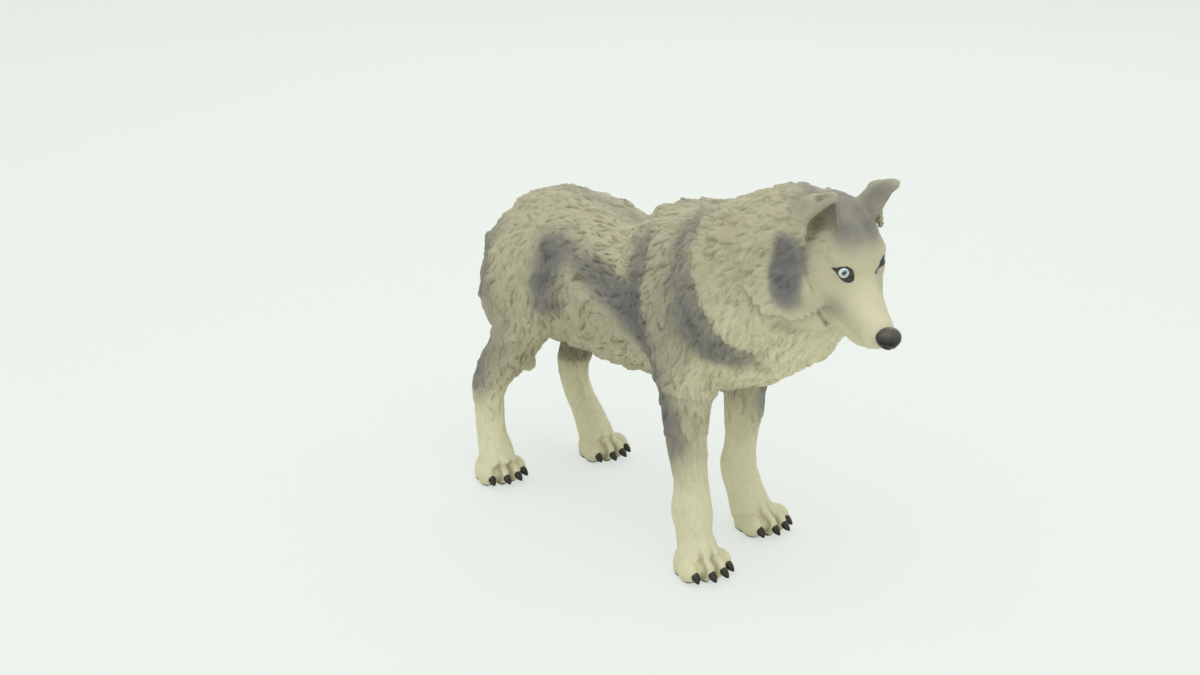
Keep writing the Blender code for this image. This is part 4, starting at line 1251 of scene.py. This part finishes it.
@dataclass
class ClawSet:
    """Sixteen short bent claws in gloss paint."""

    length: float = 3.9
    width: float = 1.8
    height: float = 1.8
    sink: float = 1.5
    droop: float = 2.1
    # The toe's tip in front of its own reach, and the claw's place across and up.
    toe_tip: float = 6.0
    across: float = 1.04
    up: float = 4.1

    def claw(self, bm: bmesh.types.BMesh, frame: Frame3, offset: float, reach: float) -> None:
        """Add one claw of a paw."""
        made = bmesh.ops.create_uvsphere(bm, u_segments=20, v_segments=18, radius=1.0)
        for vert in made["verts"]:
            x, y, z = vert.co
            share = (z + 1.0) * 0.5
            taper = 1.0 - 0.42 * share ** 1.8
            vert.co = Vector((share * self.length, x * self.width * taper,
                              y * self.height * taper - self.droop * share ** 2))
        fan = math.radians(offset * 1.6)
        seat = Vector((reach + self.toe_tip - self.sink, offset * self.across, self.up))
        matrix = frame.world_matrix() @ Matrix.Translation(seat) @ Matrix.Rotation(fan, 4, "Z")
        bmesh.ops.transform(bm, matrix=matrix, verts=made["verts"])

    def build(self) -> list[bpy.types.Object]:
        """Build the four claws of each paw as one piece."""
        paint = CLAW_PAINT.material()
        pieces = []
        for paw in PAWS:
            bm = bmesh.new()
            for offset, reach in zip(TOE_SPREAD, TOE_REACH):
                self.claw(bm, paw.frame(), offset, reach)
            for vert in bm.verts:
                vert.co.z = max(vert.co.z, 0.00005)
            bmesh.ops.recalc_face_normals(bm, faces=bm.faces)
            piece = MeshTool.new_object("claws_" + paw.name, bm)
            piece.data.materials.append(paint)
            MeshTool.shade_smooth(piece)
            pieces.append(piece)
        return pieces


@dataclass(frozen=True)
class EyePaint:
    """Finish of an eye: black almond, pale iris and dark pupil, under gloss."""

    black: Colour = srgb(20, 20, 18)
    iris: Colour = srgb(214, 226, 228)
    ring: Colour = srgb(120, 138, 146)
    pupil: Colour = srgb(22, 34, 42)
    roughness: float = 0.22

    def material(self, name: str, frame: Frame3, iris: Oval,
                 pupil: Oval) -> bpy.types.Material:
        """Build the material of one eye.

        Args:
            name: Name of the material.
            frame: Frame of the eye; its first two directions lie in the eye's plane.
            iris: Oval of the iris.
            pupil: Oval of the pupil.

        Returns:
            The material.
        """
        made, sheet, surface = new_finish(name, Roughness=self.roughness, Coat_Weight=0.5, Coat_Roughness=0.08)
        place = sheet.place()
        inside = self.oval(sheet, place, frame, iris)
        core = self.oval(sheet, place, frame, pupil)
        white = sheet.math("MULTIPLY", sheet.math("SUBTRACT", 1.0, inside), 9.0, clamp=True)
        halo = sheet.math("MULTIPLY", sheet.math("SUBTRACT", 1.75, core), 4.0, clamp=True)
        dot = sheet.math("MULTIPLY", sheet.math("SUBTRACT", 1.0, core), 7.0, clamp=True)
        base = sheet.mix(white, self.black, self.iris)
        base = sheet.mix(sheet.math("MULTIPLY", sheet.math("MULTIPLY", halo, white), 0.75), base, self.ring)
        base = sheet.mix(dot, base, self.pupil)
        vary = sheet.group(Groups.mottle(), Colour=base, Amount=0.05, Roughness=self.roughness, Scale=900.0)
        sheet.feed(surface.inputs["Base Color"], vary.outputs["Colour"])
        return made

    @staticmethod
    def oval(sheet: Sheet, place: bpy.types.NodeSocket, frame: Frame3,
             oval: Oval) -> bpy.types.NodeSocket:
        """Return the distance from an oval's centre in units of its half sizes."""
        along, up, half_along, half_up, turn = oval
        local = (frame.world_matrix() @ Matrix.Translation(Vector((along, up, 0.0)))
                 @ Matrix.Rotation(math.radians(turn), 4, "Z")).inverted()
        scale = local.to_scale()[0]
        mapping = sheet.add("ShaderNodeMapping", {
            "Vector": place, "Scale": (scale, scale, scale), "Location": local.to_translation(),
            "Rotation": local.to_quaternion().to_euler("XYZ")}, vector_type="POINT")
        squash = sheet.add("ShaderNodeVectorMath", {
            0: mapping.outputs[0], 1: (1.0 / half_along, 1.0 / half_up, 0.0)}, operation="MULTIPLY")
        return sheet.add("ShaderNodeVectorMath", {0: squash.outputs[0]}, operation="LENGTH").outputs["Value"]


@dataclass
class Eye:
    """One painted eye: a low glossy dome laid on the skin."""

    side: Side
    centre: Triple = (-1.3, 8.0, 1.4)
    facing: Triple = (0.45, 0.70, 0.50)
    axis: Triple = (0.69, -0.70, -0.16)
    # Outline in the eye's plane: towards the inner corner, and up.
    outline: tuple[tuple[float, float], ...] = (
        (-5.0, -0.6), (-3.3, 0.5), (-2.0, 1.7), (-0.4, 2.75), (1.2, 2.6), (2.1, 1.9), (2.8, 0.6), (3.4, -0.9),
        (2.7, -2.2), (1.2, -2.8), (-0.3, -2.6), (-1.7, -1.9), (-2.9, -1.1), (-3.9, -0.8),
    )
    iris: Oval = (-0.35, 0.1, 1.62, 1.95, -15.0)
    pupil: Oval = (-0.1, 0.4, 0.55, 0.8, -15.0)
    # The dome's height, its edge's height over the skin, the depth of its skirt, and where rays start.
    rise: float = 0.35
    edge: float = 0.10
    skirt: float = 0.6
    start: float = 12.0
    rings: int = 20
    spokes: int = 96

    def frame(self) -> Frame3:
        """Return the eye's frame in the body frame: along, up and out."""
        sign = self.side.value
        flip = np.array((1.0, sign, 1.0))
        out = unit(HEAD.direction(np.array(self.facing) * flip))
        along = HEAD.direction(np.array(self.axis) * flip)
        along = unit(along - out * float(along @ out))
        up = np.cross(out, along) * sign * -1.0
        if float(up @ HEAD.direction((0, 0, 1))) < 0:
            up = -up
        origin = HEAD.place(np.array((self.centre,)) * flip)[0]
        return Frame3(plain_rows((origin,))[0], plain_rows((along, up, out)))

    def radius(self, angle: float) -> float:
        """Return the outline's distance from the middle in one direction."""
        nodes = np.array(self.outline)
        ray = np.array((math.cos(angle), math.sin(angle)))
        best = 0.0
        for a, b in zip(nodes, np.roll(nodes, -1, axis=0)):
            edge = b - a
            cross = ray[0] * edge[1] - ray[1] * edge[0]
            if abs(cross) < 1e-9:
                continue
            far = (a[0] * edge[1] - a[1] * edge[0]) / cross
            share = (a[0] * ray[1] - a[1] * ray[0]) / cross
            if far > 0 and -1e-9 <= share <= 1 + 1e-9:
                best = max(best, far)
        return best

    def build(self, skin: BVHTree) -> bpy.types.Object:
        """Build the eye as a disc of rings laid on the skin.

        Args:
            skin: Search tree of the skin, in the frame's metres.

        Returns:
            The eye.
        """
        frame = self.frame()
        bm = bmesh.new()
        bmesh.ops.create_circle(bm, cap_ends=False, radius=1.0, segments=self.spokes)
        rim = list(bm.edges)
        for done in range(1, self.rings):
            made = bmesh.ops.extrude_edge_only(bm, edges=rim)
            rim = [e for e in made["geom"] if isinstance(e, bmesh.types.BMEdge) and len(e.link_faces) == 1
                   and all(v in made["geom"] for v in e.verts)]
            ring = list({v for e in rim for v in e.verts})
            left = self.rings - done
            bmesh.ops.scale(bm, vec=Vector((1, 1, 1)) * (left / (left + 1)), verts=ring)
        bmesh.ops.contextual_create(bm, geom=rim)
        bmesh.ops.triangulate(bm, faces=[f for f in bm.faces if len(f.verts) > 4])
        out, base = to_world(frame.place(np.array(((0.0, 0.0, self.start), (0.0, 0.0, 0.0)))))
        back = Vector(base - out).normalized()
        for vert in bm.verts:
            size = math.hypot(vert.co.x, vert.co.y)
            angle = math.atan2(vert.co.y, vert.co.x)
            reach = self.radius(angle) * size
            flat = np.array(((reach * math.cos(angle), reach * math.sin(angle), self.start),))
            spot = to_world(frame.place(flat))[0]
            hit = skin.ray_cast(Vector(spot), back)[0]
            ground = hit if hit is not None else Vector(spot) + back * self.start * MM
            dome = self.rise * (1.0 - size ** 2) ** 0.8 if size < 1.0 else 0.0
            vert.co = ground - back * (self.edge + dome) * MM
        rim_edges = [e for e in bm.edges if len(e.link_faces) == 1]
        skirt = bmesh.ops.extrude_edge_only(bm, edges=rim_edges)
        for vert in [v for v in skirt["geom"] if isinstance(v, bmesh.types.BMVert)]:
            vert.co += back * self.skirt * MM
        bmesh.ops.recalc_face_normals(bm, faces=bm.faces)
        piece = MeshTool.new_object("eye_" + self.side.name.lower(), bm)
        paint = EyePaint()
        piece.data.materials.append(paint.material("wolf_eye_" + self.side.name.lower(), frame, self.iris, self.pupil))
        MeshTool.shade_smooth(piece)
        return piece


@dataclass
class Studio:
    """Pale floor, pale surroundings and soft lamps."""

    floor_size: float = 6.0
    background: Colour = srgb(236, 242, 238)
    floor_shade: Colour = srgb(236, 239, 233)
    floor_glow: float = 0.65
    ambient: float = 0.80
    ambient_colour: Colour = (0.985, 0.995, 0.985, 1.0)
    lamp_colour: Triple = (1.0, 0.995, 0.975)
    lamps: tuple[tuple[str, Triple, float, float], ...] = (
        ("lamp_above", (-0.25, -0.25, 1.15), 1.1, 4.2),
        ("lamp_front", (-0.9, -1.1, 0.5), 0.9, 1.6),
        ("lamp_back", (0.9, 0.8, 0.9), 0.9, 2.0),
    )

    def floor(self) -> None:
        """Build the floor, seen by the camera as the backdrop's colour with the shadow kept."""
        bm = bmesh.new()
        bmesh.ops.create_grid(bm, x_segments=2, y_segments=2, size=self.floor_size)
        floor = MeshTool.new_object("studio_floor", bm)
        floor.location.z = -0.0001
        made, sheet, surface = new_finish("studio_floor", Base_Color=self.floor_shade, Roughness=0.75,
                                          Specular_IOR_Level=0.15)
        shown = sheet.add("ShaderNodeEmission", {"Color": self.background})
        path = sheet.add("ShaderNodeLightPath")
        seen = sheet.math("MAXIMUM", path.outputs["Is Camera Ray"], path.outputs["Is Transmission Ray"])
        share = sheet.math("MULTIPLY", seen, self.floor_glow)
        sheet.blend(share, surface, shown, made.node_tree.nodes["Material Output"])
        floor.data.materials.append(made)

    def surroundings(self) -> None:
        """Light the world softly, and show the backdrop's colour to the camera and in gloss."""
        world = bpy.data.worlds.new("studio")
        bpy.context.scene.world = world
        world.use_nodes = True
        sheet = Sheet(world.node_tree)
        lit = world.node_tree.nodes["Background"]
        lit.inputs["Color"].default_value = self.ambient_colour
        lit.inputs["Strength"].default_value = self.ambient
        seen = sheet.add("ShaderNodeBackground", {"Color": self.background, "Strength": 1.0})
        path = sheet.add("ShaderNodeLightPath")
        direct = sheet.math("MAXIMUM", path.outputs["Is Camera Ray"], path.outputs["Is Glossy Ray"])
        direct = sheet.math("MAXIMUM", direct, path.outputs["Is Transmission Ray"])
        sheet.blend(direct, lit, seen, world.node_tree.nodes["World Output"])

    def lights(self) -> None:
        """Hang the square lamps, all turned to the figure."""
        for name, spot, size, power in self.lamps:
            lamp = bpy.data.lights.new(name, "AREA")
            lamp.shape = "SQUARE"
            lamp.size = size
            lamp.energy = power
            lamp.color = self.lamp_colour
            holder = bpy.data.objects.new(name, lamp)
            holder.location = spot
            holder.rotation_euler = (Vector((0, 0, 0.07)) - Vector(spot)).to_track_quat("-Z", "Y").to_euler()
            bpy.context.scene.collection.objects.link(holder)

    def build(self) -> None:
        """Build the whole studio."""
        self.floor()
        self.surroundings()
        self.lights()


@dataclass
class PhotoCamera:
    """The camera at the photograph's viewing angle."""

    place: Triple = (525.9254, -414.9435, 275.8101)
    heading: tuple[float, float] = (0.647, 0.7625)
    pitch: float = 18.06
    lens: float = 51.0
    sensor: float = 36.0

    def build(self) -> None:
        """Build the camera and make it the scene's."""
        data = bpy.data.cameras.new("photo_camera")
        data.lens = self.lens
        data.sensor_width = self.sensor
        data.clip_start = 0.01
        data.clip_end = 20.0
        camera = bpy.data.objects.new("photo_camera", data)
        level = Vector((self.heading[0], self.heading[1], 0.0)).normalized()
        slope = math.radians(self.pitch)
        way = Vector((level.x * math.cos(slope), level.y * math.cos(slope), -math.sin(slope)))
        camera.location = Vector(to_world(np.array((self.place,)))[0])
        camera.rotation_euler = way.to_track_quat("-Z", "Y").to_euler()
        bpy.context.scene.collection.objects.link(camera)
        bpy.context.scene.camera = camera


def report(piece: bpy.types.Object) -> None:
    """Log one finished piece."""
    low = MeshTool.points(piece.data).min(axis=0)
    high = MeshTool.points(piece.data).max(axis=0)
    LOG.info("%s: %d faces, forward %.1f to %.1f, left %.1f to %.1f, up %.1f to %.1f mm", piece.name,
             len(piece.data.polygons), low[0], high[0], low[1], high[1], low[2], high[2])


def add_to_figure(piece: bpy.types.Object, stands_for_solid: bool = False) -> None:
    """Let a piece ride on the figure's body, hide the solid that it stands for, and log it."""
    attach(piece, BODY)
    if stands_for_solid:
        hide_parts(NODE)
    report(piece)


def main() -> None:
    """Build the camera, the studio and every piece of the figure."""
    logging.basicConfig(level=logging.INFO, format="%(name)s: %(message)s")
    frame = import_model()
    bpy.context.scene.view_settings.view_transform = "Standard"
    PhotoCamera().build()
    Studio().build()
    slices, tree = WolfSkin().build(frame["nodes"][NODE])
    paint = PaintedRubber().material()
    for skin in slices:
        skin.data.materials.clear()
        skin.data.materials.append(paint)
        add_to_figure(skin, stands_for_solid=True)
    add_to_figure(NosePad().build())
    for piece in ClawSet().build():
        add_to_figure(piece)
    add_to_figure(Eye(Side.RIGHT).build(tree))
    left_iris = (-0.8, 0.1, 1.6, 1.95, -15.0)
    add_to_figure(Eye(Side.LEFT, centre=(-2.0, 8.7, 1.6), iris=left_iris, rise=0.2).build(tree))


if __name__ == "__main__":
    main()
